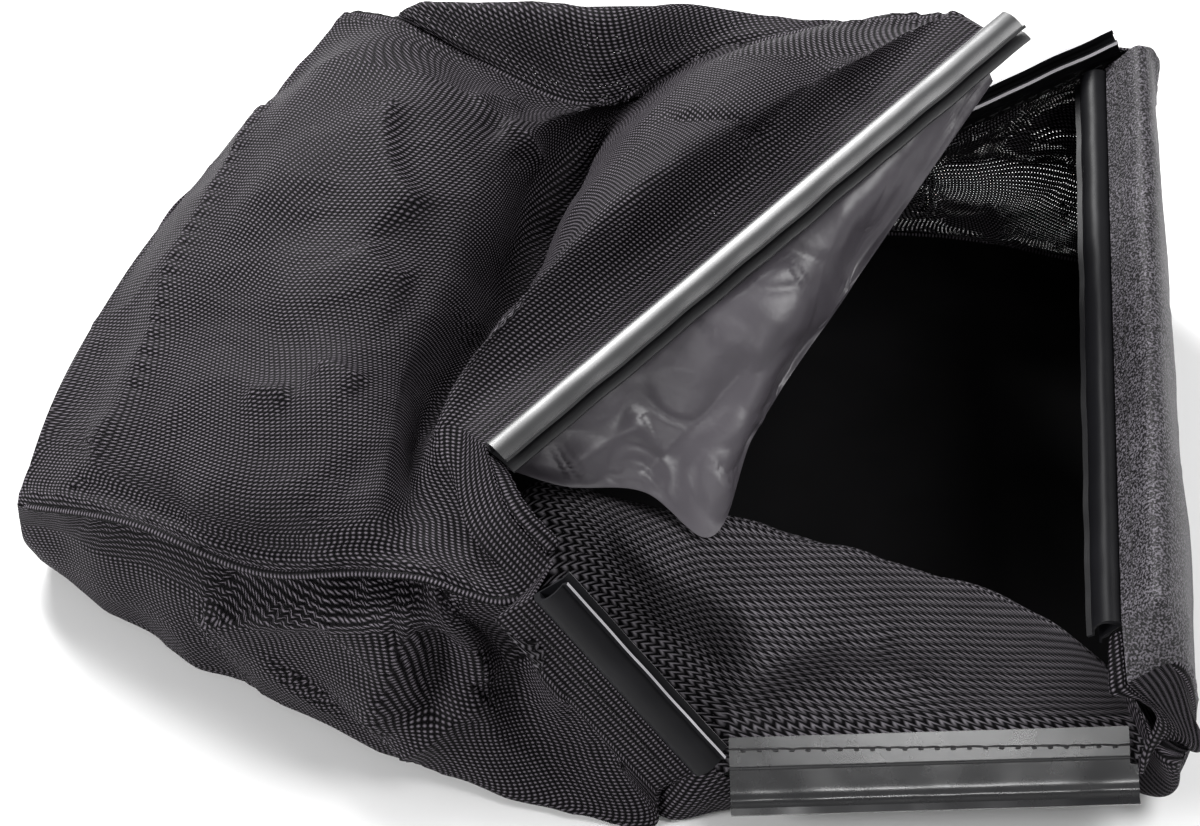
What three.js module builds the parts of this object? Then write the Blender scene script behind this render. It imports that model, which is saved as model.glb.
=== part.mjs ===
// Mower grass collection bag: a soft sewn bag lying collapsed on its bottom panel, mouth open.
// Millimetres, Z up. X runs from the closed rear end to the mouth, Y from the near side to the far side.
import * as THREE from 'three';

// Thickness of each sheet.
const MESH_THICKNESS = 1.2;
const COATED_THICKNESS = 1.6;
const LINER_THICKNESS = 0.8;

// Seams: the least gap that two panels keep on either side of the seam line that they share.
const SEAM_CLEARANCE = 0.25;
const SEAM_SETBACK_MAX = 5;
const REAR_SEAM_CLEARANCE = 0.9;

// Frame clips: a flat flange under the cloth and a snap channel past the cloth edge.
const CLIP_WALL = 1.4;
const CLIP_CLEARANCE = 0.3;
const FLANGE_WIDTH = 16;
const STRIP_WIDTH = 19;
const CHANNEL_REACH = 21;
const CHANNEL_DEPTH = 9;
const CHANNEL_START = 1.2;
const CHANNEL_ROOT_WALL = 3.4;
const CHANNEL_EASE = 4;
const SLOT_WIDTH = 3.4;
const LIP_LENGTH = 3;
const LIP_FLARE = 2.2;
const OUTER_LIP_FLARE = 1.5;
const LIP_BEVEL = 0.6;
const TOP_FLANGE_SHORT = 24;
const SIDE_FLANGE_SHORT = 12;
const CORNER_FLANGE_SHORT = 4;

// Clip lengths.
const TOP_CLIP_LENGTH = 340;
const SIDE_UPPER_CLIP_LENGTH = 126;
const SIDE_LOWER_CLIP_LENGTH = 195;
const BOTTOM_CLIP_LENGTH = 343;

// Corner hems: a rolled band that closes the cloth edge between two clips.
const HEM_WIDTH = 9;
const HEM_THICKNESS = 4.4;
const HEM_END_GAP = 2.5;
const HEM_CLEARANCE = 0.8;
const HEM_FOLD_GAP = 7;

// Dust liner: a loose flap under the top clip's flange.
const LINER_GAP = 0.3;
const LINER_SEAM = 13;
const LINER_BEND = 2;
const LINER_SLACK = 0.5;

// The rear panel bulges this far behind its own seams.
const REAR_BULGE = 7;

// Height of a sheet's middle surface where it lies flat on the ground, and where it lies on another sheet.
const FLOOR = COATED_THICKNESS / 2;
const SEAM_LIFT = 0.5;
const REAR_LIFT = 1;

const v = (x, y, z) => new THREE.Vector3(x, y, z);

// A clip's place: the middle of its cloth edge, the direction along it, the direction in which
// the cloth leaves it, and the side of the cloth that the flange is sewn to.
function clipFrame(length, cloth, middle, along, lay, inside) {
  const a = along.clone().normalize();
  const l = lay.clone().addScaledVector(a, -lay.dot(a)).normalize();
  const n = a.clone().cross(l);
  if (n.dot(inside) < 0) n.negate();
  return { length, cloth, middle, a, l, n };
}

const TOP = clipFrame(
  TOP_CLIP_LENGTH, MESH_THICKNESS,
  v(73, -76, 203.5), v(254, 205, 97), v(-0.58, 0.72, -0.2), v(0.3, 0, -1));
const RIGHT_UPPER = clipFrame(
  SIDE_UPPER_CLIP_LENGTH, MESH_THICKNESS,
  v(6, -262, 80), v(-76, 24, 100), v(-0.75, -0.1, -0.65), v(0.2, 1, -0.1));
const RIGHT_LOWER = clipFrame(
  SIDE_LOWER_CLIP_LENGTH, MESH_THICKNESS,
  v(159.5, -275, 37), v(194, 1, 8), v(0, 0.7, 0.72), v(0, -0.7, 0.7));
const BOTTOM = clipFrame(
  BOTTOM_CLIP_LENGTH, COATED_THICKNESS,
  v(257, -82, 142.5), v(27, 341, 60), v(0.52, -0.06, 0.84), v(0.5, 0, -1));
const LEFT_UPPER = clipFrame(
  SIDE_UPPER_CLIP_LENGTH, MESH_THICKNESS,
  v(133, 51.5, 148), v(107, -1, 104), v(0.1, 0.9, 0.2), v(0.6, 0, -0.8));

// A point on a clip's cloth: t from -0.5 to 0.5 along the clip, s into the cloth from its edge.
function onClip(clip, t, s) {
  return clip.middle.clone().addScaledVector(clip.a, t * clip.length).addScaledVector(clip.l, s);
}

// A point of the rim beside a clip's end. Row 0 is the cloth edge, row 1 is one strip width in.
function beside(clip, t, row, x, y, z) {
  return onClip(clip, t, row * STRIP_WIDTH).add(v(x, y, z));
}

// The left lower clip starts beside the bottom clip's far end and keeps to it.
const LEFT_LOWER_WAY = v(-174, -33, -77);
const LEFT_LOWER = clipFrame(
  SIDE_LOWER_CLIP_LENGTH, MESH_THICKNESS,
  beside(BOTTOM, 0.5, 0, 9, 21.3, -1.7).add(LEFT_LOWER_WAY.clone().setLength(SIDE_LOWER_CLIP_LENGTH / 2)),
  LEFT_LOWER_WAY, v(-0.1, 0.45, -0.88), v(0.2, -1, -0.3));

// A smooth line through points, with a given number of steps in each span.
// The tangent at a point is the mean of the two chord directions, weighted by the other chord's length.
// A straight first span keeps its own direction at both ends.
function lace(points, steps, straightStart = false) {
  const last = points.length - 1;
  const chord = [];
  const way = [];
  for (let i = 0; i < last; i += 1) {
    const d = points[i + 1].clone().sub(points[i]);
    chord.push(Math.max(d.length(), 1e-6));
    way.push(d.divideScalar(chord[i]));
  }
  const tangent = points.map((p, i) => {
    if (i === 0) return way[0].clone();
    if (i === last) return way[last - 1].clone();
    if (i === 1 && straightStart) return way[0].clone();
    const sum = chord[i - 1] + chord[i];
    return way[i - 1].clone().multiplyScalar(chord[i] / sum).addScaledVector(way[i], chord[i - 1] / sum);
  });
  const out = [points[0].clone()];
  for (let i = 0; i < last; i += 1) {
    for (let k = 1; k <= steps[i]; k += 1) {
      const t = k / steps[i];
      const t2 = t * t;
      const t3 = t2 * t;
      const p = points[i].clone().multiplyScalar(2 * t3 - 3 * t2 + 1);
      p.addScaledVector(tangent[i], (t3 - 2 * t2 + t) * chord[i]);
      p.addScaledVector(points[i + 1], 3 * t2 - 2 * t3);
      p.addScaledVector(tangent[i + 1], (t3 - t2) * chord[i]);
      out.push(p);
    }
  }
  return out;
}

// Rim rows are made of stretches: corner stretches are laced, clip stretches run straight.
function rimRow(stretches) {
  const row = [];
  for (const { points, steps } of stretches) {
    const part = lace(points, steps);
    row.push(...(row.length ? part.slice(1) : part));
  }
  return row;
}

// The stretches of the rim that lie along a clip, as column numbers.
function clipStrips(stretches) {
  const strips = [];
  let from = 0;
  for (const { steps, clip } of stretches) {
    const to = from + steps.reduce((sum, k) => sum + k, 0);
    if (clip) strips.push({ from, to, clip });
    from = to;
  }
  return strips;
}

// A cloth panel: its middle surface, its clip strips and its thickness. The two rim rows come first,
// then the laced rows, and every column is laced from rim to rear.
// Cloth that would sink below the floor lies on it.
const ROW_STEPS = [1, 3, 2, 3, 2, 2, 2, 2];

function clothPanel(thickness, stretchesAt, rows, columnSteps) {
  const full = [rimRow(stretchesAt(0)), rimRow(stretchesAt(1)), ...rows.map((row) => lace(row, columnSteps))];
  const columns = full[0].map((_, j) => lace(full.map((row) => row[j]), ROW_STEPS, true));
  for (const p of columns.flat()) p.z = Math.max(p.z, FLOOR);
  const grid = columns[0].map((_, i) => columns.map((column) => column[i]));
  return { grid, thickness, strips: clipStrips(stretchesAt(0)) };
}

// Seam lines, from the rim corner to the rear. Their first two points lie beside the clip ends.
const LOW = FLOOR + SEAM_LIFT;
const TOP_RIGHT_SEAM = [
  beside(RIGHT_UPPER, 0.5, 0, 9.4, 18.2, 4.7), beside(RIGHT_UPPER, 0.5, 1, 14.7, 13.8, 3.9),
  v(-44, -242, 118), v(-63, -237, 118), v(-80, -231, 120), v(-109, -223, 116),
  v(-158, -209, 100), v(-231, -168, 92), v(-296, -126, 60)];
const TOP_CLOTH_END = 0.47;
const TOP_LEFT_SEAM = [
  beside(TOP, TOP_CLOTH_END, 0, 7.8, 15.8, -15), beside(TOP, TOP_CLOTH_END, 1, 5.6, 14.6, -11.3),
  v(170, 58, 228), v(130, 74, 212), v(54, 95, 172), v(-5, 72, 160), v(-65, 102, 165),
  v(-110, 140, 163), v(-142, 166, 150)];
const BOTTOM_RIGHT_SEAM = [
  beside(BOTTOM, -0.5, 0, 2.3, -19.6, -20.9), beside(BOTTOM, -0.5, 1, 5.6, -13.1, -28.4),
  v(283, -262, 55), v(271, -257, 6), v(215, -238, LOW), v(80, -230, LOW),
  v(-60, -223, LOW), v(-190, -168, LOW), v(-285, -100, LOW + 1.5)];
const BOTTOM_LEFT_SEAM = [
  beside(BOTTOM, 0.5, 0, 18.7, 14.6, 1.9), beside(BOTTOM, 0.5, 1, 12, 13.1, -9.7),
  v(300, 99, 128), v(290, 112, 14), v(230, 140, LOW), v(110, 150, LOW), v(-30, 156, LOW),
  v(-105, 165, LOW), v(-142, 166, LOW + 1.5)];

// Top panel: a rolled ridge beside the top clip, a deep valley behind it, then a gentle fall to the rear.
const TOP_STEPS = [4, 8, 8, 2];
const TOP_ROWS = [
  [v(-76, -160, 150), v(19, -65, 218), v(130, 17, 238)],
  [v(-83, -161, 135), v(-12, -70, 200), v(71, 28, 226)],
  [v(-90, -168, 124), v(-44, -35, 118), v(5, 82, 146)],
  [v(-104, -193, 135), v(-85, -70, 150), v(-32, 53, 165)],
  [v(-163, -191, 118), v(-155, -70, 150), v(-90, 78, 172)],
  [v(-234, -138, 98), v(-211, -31, 128), v(-140, 104, 165)],
  [v(-287, -77, 72), v(-253, 9, 95), v(-174, 127, 130)]];

// Right side panel: outer face out beside its upper clip, folded out over a ridge beside its lower clip.
const RIGHT_STEPS = [1, 3, 3, 2, 2, 2, 7, 2, 2];
const RIGHT_ROWS = [
  [v(-32, -252, 95), v(0, -265, 42), v(27, -283, 5), v(-26, -222, 64), v(-36, -170, 116), v(44, -184, 113),
    v(241, -255, 84), v(277, -276, 48)],
  [v(-45, -236, 68), v(-29, -257, 30), v(-12, -278, 5), v(-34, -218, 34), v(-46, -152, 70), v(46, -160, 62),
    v(226, -228, 44), v(276, -277, 22)],
  [v(-62, -238, 85), v(-63, -251, 45), v(-59, -265, 5), v(-30, -262, 4), v(0, -256, 4), v(45, -250, 3.5),
    v(168, -244, 3), v(202, -242, 2.4)],
  [v(-95, -233, 94), v(-104, -246, 50), v(-106, -243, 6), v(-75, -243, 4), v(-50, -241, 3.5), v(-20, -239, 3),
    v(40, -237, 2.4), v(64, -234, 2)],
  [v(-161, -209, 66), v(-174, -206, 35), v(-176, -200, 6), v(-150, -208, 4), v(-130, -213, 3.5),
    v(-110, -217, 3), v(-84, -223, 2.4), v(-71, -224, 2)],
  [v(-228, -171, 62), v(-238, -168, 35), v(-242, -158, 6), v(-230, -163, 4), v(-221, -166, 3.5),
    v(-212, -168, 3), v(-201, -170, 2.4), v(-195, -170, 2)],
  [v(-298, -121, 42), v(-298, -119, 24), v(-293, -113, 9), v(-292, -110, 7), v(-290, -107, 6),
    v(-289, -105, 5), v(-287, -103, 4), v(-286, -102, 3.5)]];

// Left side panel: hidden behind the top clip, it rises in a hump past its top seam and falls to the floor.
const LEFT_STEPS = [2, 3, 4, 2, 10, 3];
const LEFT_ROWS = [
  [v(166, 84, 200), v(134, 86, 156), v(96, 86, 110), v(105, 100, 60), v(284, 124, 120)],
  [v(124, 98, 196), v(114, 104, 160), v(96, 108, 114), v(100, 118, 60), v(270, 142, 48)],
  [v(60, 118, 188), v(66, 132, 160), v(72, 142, 120), v(75, 150, 62), v(190, 152, 10)],
  [v(8, 106, 196), v(18, 126, 172), v(25, 144, 128), v(26, 158, 70), v(85, 160, 8)],
  [v(-55, 117, 190), v(-48, 138, 166), v(-40, 156, 130), v(-40, 166, 75), v(-34, 158, 8)],
  [v(-104, 141, 172), v(-95, 160, 146), v(-86, 178, 110), v(-86, 184, 65), v(-98, 174, 8)],
  [v(-139, 174, 128), v(-136, 180, 102), v(-134, 184, 72), v(-133, 184, 45), v(-138, 174, 10)]];

// Bottom panel: from its clip it runs to the right, curls under and lies on the floor to the rear.
const BOTTOM_STEPS = [2, 9, 9, 2];
const BOTTOM_ROWS = [
  [v(284, -236, 76), v(294, -60, 96), v(301, 82, 124)],
  [v(264, -228, FLOOR), v(270, -60, FLOOR), v(284, 84, FLOOR)],
  [v(214, -205, FLOOR), v(214, -60, FLOOR), v(225, 100, FLOOR)],
  [v(80, -200, FLOOR), v(90, -50, FLOOR), v(105, 100, FLOOR)],
  [v(-60, -193, FLOOR), v(-50, -40, FLOOR), v(-35, 115, FLOOR)],
  [v(-188, -140, FLOOR), v(-160, -10, FLOOR), v(-112, 130, FLOOR)],
  [v(-272, -72, FLOOR), v(-222, 35, FLOOR), v(-160, 140, FLOOR)]];

function topPanel() {
  const stretchesAt = (r) => {
    const near = onClip(TOP, -0.5, r * STRIP_WIDTH);
    const far = onClip(TOP, TOP_CLOTH_END, r * STRIP_WIDTH);
    const fold = [beside(TOP, -0.5, 0, 10.8, -32.7, -9.1), beside(TOP, -0.5, 1, 4.6, -48.8, -17.4)][r];
    return [
      { points: [TOP_RIGHT_SEAM[r], fold, near], steps: [2, 2] },
      { points: [near, far], steps: [16], clip: TOP },
      { points: [far, TOP_LEFT_SEAM[r]], steps: [2] }];
  };
  const rows = TOP_ROWS.map((row, i) => [TOP_RIGHT_SEAM[i + 2], ...row, TOP_LEFT_SEAM[i + 2]]);
  return clothPanel(MESH_THICKNESS, stretchesAt, rows, TOP_STEPS);
}

function rightPanel() {
  const stretchesAt = (r) => {
    const s = r * STRIP_WIDTH;
    const [lower, upper] = [-0.5, 0.5].map((t) => onClip(RIGHT_UPPER, t, s));
    const [left, right] = [-0.5, 0.5].map((t) => onClip(RIGHT_LOWER, t, s));
    const turn = [
      beside(RIGHT_LOWER, -0.5, 0, -10.1, -1.5, -4.1), beside(RIGHT_LOWER, -0.5, 1, -21.5, -9.8, -22.7)][r];
    const roll = [
      beside(RIGHT_LOWER, 0.5, 0, 11, -1.5, 25.1), beside(RIGHT_LOWER, 0.5, 1, 28, -13, -6.5)][r];
    return [
      { points: [TOP_RIGHT_SEAM[r], upper], steps: [1] },
      { points: [upper, lower], steps: [6], clip: RIGHT_UPPER },
      { points: [lower, turn, left], steps: [3, 3] },
      { points: [left, right], steps: [7], clip: RIGHT_LOWER },
      { points: [right, roll, BOTTOM_RIGHT_SEAM[r]], steps: [2, 2] }];
  };
  const rows = RIGHT_ROWS.map((row, i) => [TOP_RIGHT_SEAM[i + 2], ...row, BOTTOM_RIGHT_SEAM[i + 2]]);
  return clothPanel(MESH_THICKNESS, stretchesAt, rows, RIGHT_STEPS);
}

function leftPanel() {
  const stretchesAt = (r) => {
    const s = r * STRIP_WIDTH;
    const [lower, upper] = [-0.5, 0.5].map((t) => onClip(LEFT_UPPER, t, s));
    const [outer, inner] = [-0.5, 0.5].map((t) => onClip(LEFT_LOWER, t, s));
    return [
      { points: [TOP_LEFT_SEAM[r], upper], steps: [2] },
      { points: [upper, lower], steps: [7], clip: LEFT_UPPER },
      { points: [lower, inner], steps: [2] },
      { points: [inner, outer], steps: [10], clip: LEFT_LOWER },
      { points: [outer, BOTTOM_LEFT_SEAM[r]], steps: [3] }];
  };
  const rows = LEFT_ROWS.map((row, i) => [TOP_LEFT_SEAM[i + 2], ...row, BOTTOM_LEFT_SEAM[i + 2]]);
  return clothPanel(MESH_THICKNESS, stretchesAt, rows, LEFT_STEPS);
}

function bottomPanel() {
  const stretchesAt = (r) => {
    const [near, far] = [-0.5, 0.5].map((t) => onClip(BOTTOM, t, r * STRIP_WIDTH));
    return [
      { points: [BOTTOM_RIGHT_SEAM[r], near], steps: [2] },
      { points: [near, far], steps: [18], clip: BOTTOM },
      { points: [far, BOTTOM_LEFT_SEAM[r]], steps: [2] }];
  };
  const rows = BOTTOM_ROWS.map((row, i) => [BOTTOM_RIGHT_SEAM[i + 2], ...row, BOTTOM_LEFT_SEAM[i + 2]]);
  return clothPanel(COATED_THICKNESS, stretchesAt, rows, BOTTOM_STEPS);
}

// Rear panel: a patch between the last rows of the other four, bulging out, every other point kept.
const REAR_OUT = v(-0.85, 0.5, 0);

function rearPanel(top, right, left, bottom) {
  const last = ({ grid }) => grid[grid.length - 1].filter((_, j) => j % 2 === 0);
  const [up, near, far, down] = [top, right, left, bottom].map(last);
  const rows = near.length - 1;
  const columns = up.length - 1;
  const grid = near.map((_, i) => up.map((__, j) => {
    const a = i / rows;
    const b = j / columns;
    const p = up[j].clone().multiplyScalar(1 - a).addScaledVector(down[j], a);
    p.addScaledVector(near[i], 1 - b).addScaledVector(far[i], b);
    p.addScaledVector(up[0], -(1 - a) * (1 - b)).addScaledVector(up[columns], -(1 - a) * b);
    p.addScaledVector(down[0], -a * (1 - b)).addScaledVector(down[columns], -a * b);
    p.addScaledVector(REAR_OUT, REAR_BULGE * Math.sin(Math.PI * a) * Math.sin(Math.PI * b));
    return p.setZ(Math.max(p.z, FLOOR + REAR_LIFT));
  }));
  return { grid, thickness: MESH_THICKNESS, strips: [] };
}

// Dust liner: a flap sewn under the top clip's flange that hangs into the mouth and ends in a soft point.
const LINER_ALONG = [-0.48, -0.34, -0.18, -0.02, 0.15, 0.3, 0.45];
const LINER_EDGE = [
  v(-44, -176, 138), v(-19, -183, 134), v(22, -184, 130), v(50, -202, 118), v(74, -152, 136),
  v(122, -86, 170), v(195, -3, 236)];
const LINER_STEPS = [3, 3, 3, 3, 3, 3];
const LINER_FALL = [2, 5];

function dustLiner() {
  const under = clipFace(TOP) + CLIP_WALL + LINER_GAP + LINER_THICKNESS / 2;
  const row = (s, drop) => LINER_ALONG.map((t) => onClip(TOP, t, s).addScaledVector(TOP.n, under + drop));
  const lines = [row(LINER_SEAM, 0), row(LINER_BEND, LINER_SLACK), LINER_EDGE];
  const rows = lines.map((points) => lace(points, LINER_STEPS));
  const columns = rows[0].map((_, j) => lace(rows.map((line) => line[j]), LINER_FALL));
  const grid = columns[0].map((_, i) => columns.map((column) => column[i]));
  return { grid, thickness: LINER_THICKNESS, strips: [] };
}

// Normals of a grid from its central differences.
// Along each clip the two rim rows take the clip's own normal.
function panelNormals({ grid, strips }) {
  const m = grid.length - 1;
  const n = grid[0].length - 1;
  const normals = grid.map((row, i) => row.map((_, j) => {
    const after = i === 1 && strips.length ? 1 : Math.min(i + 1, m);
    const du = grid[after][j].clone().sub(grid[Math.max(i - 1, 0)][j]);
    const dv = grid[i][Math.min(j + 1, n)].clone().sub(grid[i][Math.max(j - 1, 0)]);
    return du.cross(dv).normalize();
  }));
  for (const { from, to, clip } of strips) {
    for (let j = from; j <= to; j += 1) {
      const side = Math.sign(normals[0][j].dot(clip.n));
      normals[0][j] = clip.n.clone().multiplyScalar(side);
      normals[1][j] = normals[0][j].clone();
    }
  }
  return normals;
}

// How far an edge point moves into its own cloth: more where the neighbour's cloth meets it at a sharp
// angle or where the grid runs aslant to the seam.
function setback(along, inward, other, base) {
  const a = inward.clone().addScaledVector(along, -inward.dot(along));
  const b = other.clone().addScaledVector(along, -other.dot(along));
  const half = Math.max(a.angleTo(b) / 2, 0.05);
  const across = THREE.MathUtils.clamp(base / Math.tan(half), base * 0.6, SEAM_SETBACK_MAX);
  return Math.min((across * inward.length()) / Math.max(a.length(), 1e-6), inward.length() * 0.6);
}

// Pull one border of a grid inwards along the cloth. The border's neighbours on the other panel run
// index for index with it.
function pullBorder(grid, side, others, base) {
  const m = grid.length - 1;
  const n = grid[0].length - 1;
  const at = {
    first: (k, d) => [k, d],
    last: (k, d) => [k, n - d],
    front: (k, d) => [d, k],
    rear: (k, d) => [m - d, k],
  }[side];
  const count = side === 'rear' || side === 'front' ? n : m;
  const line = Array.from({ length: count + 1 }, (_, k) => {
    const [i, j] = at(k, 0);
    return grid[i][j].clone();
  });
  for (let k = 0; k <= count; k += 1) {
    const [i0, j0] = at(k, 0);
    const [i1, j1] = at(k, 1);
    const along = line[Math.min(k + 1, count)].clone().sub(line[Math.max(k - 1, 0)]).normalize();
    const inward = grid[i1][j1].clone().sub(line[k]);
    const d = setback(along, inward, others[k].clone().sub(line[k]), base);
    grid[i0][j0] = line[k].clone().addScaledVector(inward.normalize(), d);
  }
}

const copyPanel = (panel) => ({ ...panel, grid: panel.grid.map((row) => row.map((p) => p.clone())) });

// Pull every seam of the five panels open by its clearance.
function openSeams({ top, right, left, bottom, rear }) {
  const cut = { top, right, left, bottom, rear };
  for (const name of Object.keys(cut)) cut[name] = copyPanel(cut[name]);
  const column = ({ grid }, j) => grid.map((row) => row[j < 0 ? row.length + j : j]);
  const side = (name, edge, other, j) => {
    const half = Math.max(cut[name].thickness, other.thickness) / 2;
    pullBorder(cut[name].grid, edge, column(other, j), half + SEAM_CLEARANCE);
  };
  side('top', 'first', right, 1);
  side('top', 'last', left, 1);
  side('right', 'first', top, 1);
  side('right', 'last', bottom, 1);
  side('left', 'first', top, -2);
  side('left', 'last', bottom, -2);
  side('bottom', 'first', right, -2);
  side('bottom', 'last', left, -2);
  const rows = rear.grid.length - 1;
  const columns = rear.grid[0].length - 1;
  const beyond = (name, count, pick) => {
    const others = Array.from({ length: count * 2 + 1 }, (_, k) => pick(Math.round(k / 2)));
    pullBorder(cut[name].grid, 'rear', others, cut[name].thickness / 2 + SEAM_CLEARANCE);
  };
  beyond('top', columns, (j) => rear.grid[1][j]);
  beyond('bottom', columns, (j) => rear.grid[rows - 1][j]);
  beyond('right', rows, (i) => rear.grid[i][1]);
  beyond('left', rows, (i) => rear.grid[i][columns - 1]);
  const within = (edge, { grid }) => {
    const others = grid[grid.length - 2].filter((_, j) => j % 2 === 0);
    pullBorder(cut.rear.grid, edge, others, MESH_THICKNESS / 2 + REAR_SEAM_CLEARANCE);
  };
  within('first', right);
  within('last', left);
  within('rear', bottom);
  within('front', top);
  return cut;
}

// A closed shell of even thickness about a panel's grid.
function shell({ grid, thickness }, normals) {
  const m = grid.length;
  const n = grid[0].length;
  const xyz = [];
  for (const side of [0.5, -0.5]) {
    for (let i = 0; i < m; i += 1) {
      for (let j = 0; j < n; j += 1) {
        const p = grid[i][j].clone().addScaledVector(normals[i][j], side * thickness);
        xyz.push(p.x, p.y, p.z);
      }
    }
  }
  const index = [];
  const under = m * n;
  const at = (i, j) => i * n + j;
  const quad = (a, b, c, d) => index.push(a, b, c, a, c, d);
  for (let i = 0; i + 1 < m; i += 1) {
    for (let j = 0; j + 1 < n; j += 1) {
      quad(at(i, j), at(i + 1, j), at(i + 1, j + 1), at(i, j + 1));
      quad(under + at(i, j), under + at(i, j + 1), under + at(i + 1, j + 1), under + at(i + 1, j));
    }
  }
  for (let i = 0; i + 1 < m; i += 1) {
    quad(at(i + 1, 0), at(i, 0), under + at(i, 0), under + at(i + 1, 0));
    quad(at(i, n - 1), at(i + 1, n - 1), under + at(i + 1, n - 1), under + at(i, n - 1));
  }
  for (let j = 0; j + 1 < n; j += 1) {
    quad(at(0, j), at(0, j + 1), under + at(0, j + 1), under + at(0, j));
    quad(at(m - 1, j + 1), at(m - 1, j), under + at(m - 1, j), under + at(m - 1, j + 1));
  }
  const geometry = new THREE.BufferGeometry();
  geometry.setAttribute('position', new THREE.Float32BufferAttribute(xyz, 3));
  geometry.setIndex(index);
  geometry.computeVertexNormals();
  return geometry;
}

// Where a clip's flat wall starts, measured from the cloth's middle surface.
function clipFace(clip) {
  return clip.cloth / 2 + CLIP_CLEARANCE;
}

// The clip's cross-section: x into the cloth, y to the inner side, from the cloth's middle surface.
// A flat inner wall with the flange, and a bowed outer wall that closes on it at a sprung slot.
function clipSection(clip) {
  const face = clipFace(clip);
  const back = face + CLIP_WALL;
  const bow = face - CHANNEL_DEPTH;
  const root = -CHANNEL_START;
  const tip = -CHANNEL_REACH;
  const mouth = tip + LIP_LENGTH;
  const crown = (root + mouth) / 2;
  const slot = face - SLOT_WIDTH;
  const shape = new THREE.Shape();
  shape.moveTo(FLANGE_WIDTH, face);
  shape.lineTo(FLANGE_WIDTH, back);
  shape.lineTo(mouth, back);
  shape.lineTo(tip, back + LIP_FLARE);
  shape.lineTo(tip - LIP_BEVEL, back + LIP_FLARE - CLIP_WALL);
  shape.lineTo(mouth, face);
  shape.lineTo(root - CHANNEL_ROOT_WALL, face);
  shape.quadraticCurveTo(root - CHANNEL_ROOT_WALL, bow + CLIP_WALL, crown, bow + CLIP_WALL);
  shape.quadraticCurveTo(mouth + CHANNEL_EASE, bow + CLIP_WALL, mouth, slot);
  shape.lineTo(tip, slot - OUTER_LIP_FLARE);
  shape.lineTo(tip + LIP_BEVEL, slot - OUTER_LIP_FLARE - CLIP_WALL);
  shape.lineTo(mouth, slot - CLIP_WALL);
  shape.quadraticCurveTo(mouth + CHANNEL_EASE, bow, crown, bow);
  shape.quadraticCurveTo(root, bow, root, face);
  shape.closePath();
  return shape;
}

// The section carried along the clip. The flange can stop short of the channel at either end.
function clipGeometry(clip, shortNear = 0, shortFar = 0) {
  const options = { depth: clip.length, bevelEnabled: false, curveSegments: 5 };
  const geometry = new THREE.ExtrudeGeometry(clipSection(clip), options);
  geometry.translate(0, 0, -clip.length / 2);
  const alongWay = clip.l.clone().cross(clip.n);
  const forward = alongWay.dot(clip.a) > 0;
  const [low, high] = forward ? [shortNear, shortFar] : [shortFar, shortNear];
  const position = geometry.getAttribute('position');
  for (let k = 0; k < position.count; k += 1) {
    const z = position.getZ(k);
    if (position.getX(k) > -2 * CHANNEL_START) position.setZ(k, z > 0 ? z - high : z + low);
  }
  const turn = new THREE.Matrix4().makeBasis(clip.l, clip.n, alongWay).setPosition(clip.middle);
  return geometry.applyMatrix4(turn);
}

// A corner hem: a soft flat roll along the rim between two clips, just past the cloth edge.
const HEM_SEGMENTS = 10;

function hemGeometry(rim, inner, endGap) {
  const last = rim.length - 1;
  const rings = rim.map((p, k) => {
    const off = p.clone().sub(inner[k]).normalize();
    const along = rim[Math.min(k + 1, last)].clone().sub(rim[Math.max(k - 1, 0)]).normalize();
    const side = off.clone().cross(along).normalize();
    const centre = p.clone().addScaledVector(off, HEM_WIDTH / 2 + HEM_CLEARANCE);
    if (k === 0) centre.addScaledVector(along, HEM_END_GAP);
    if (k === last) centre.addScaledVector(along, -endGap);
    return Array.from({ length: HEM_SEGMENTS }, (_, q) => {
      const angle = (2 * Math.PI * q) / HEM_SEGMENTS;
      const across = centre.clone().addScaledVector(off, (HEM_WIDTH / 2) * Math.cos(angle));
      return across.addScaledVector(side, (HEM_THICKNESS / 2) * Math.sin(angle));
    });
  });
  const xyz = rings.flat().flatMap((p) => [p.x, p.y, p.z]);
  const index = [];
  for (let k = 0; k < last; k += 1) {
    for (let q = 0; q < HEM_SEGMENTS; q += 1) {
      const [a, b] = [k * HEM_SEGMENTS + q, k * HEM_SEGMENTS + ((q + 1) % HEM_SEGMENTS)];
      index.push(a, b + HEM_SEGMENTS, b, a, a + HEM_SEGMENTS, b + HEM_SEGMENTS);
    }
  }
  for (let q = 1; q + 1 < HEM_SEGMENTS; q += 1) {
    const end = last * HEM_SEGMENTS;
    index.push(0, q, q + 1, end, end + q + 1, end + q);
  }
  const geometry = new THREE.BufferGeometry();
  geometry.setAttribute('position', new THREE.Float32BufferAttribute(xyz, 3));
  geometry.setIndex(index);
  geometry.computeVertexNormals();
  return geometry;
}

function material(color, roughness) {
  return new THREE.MeshStandardMaterial({ color, roughness, metalness: 0, side: THREE.DoubleSide });
}

const knitMesh = () => material('#26232a', 0.85);
const coatedCloth = () => material('#17161a', 0.6);
const smoothVinyl = () => material('#2b2930', 0.35);
const clipPlastic = () => material('#0c0c0e', 0.25);

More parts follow.
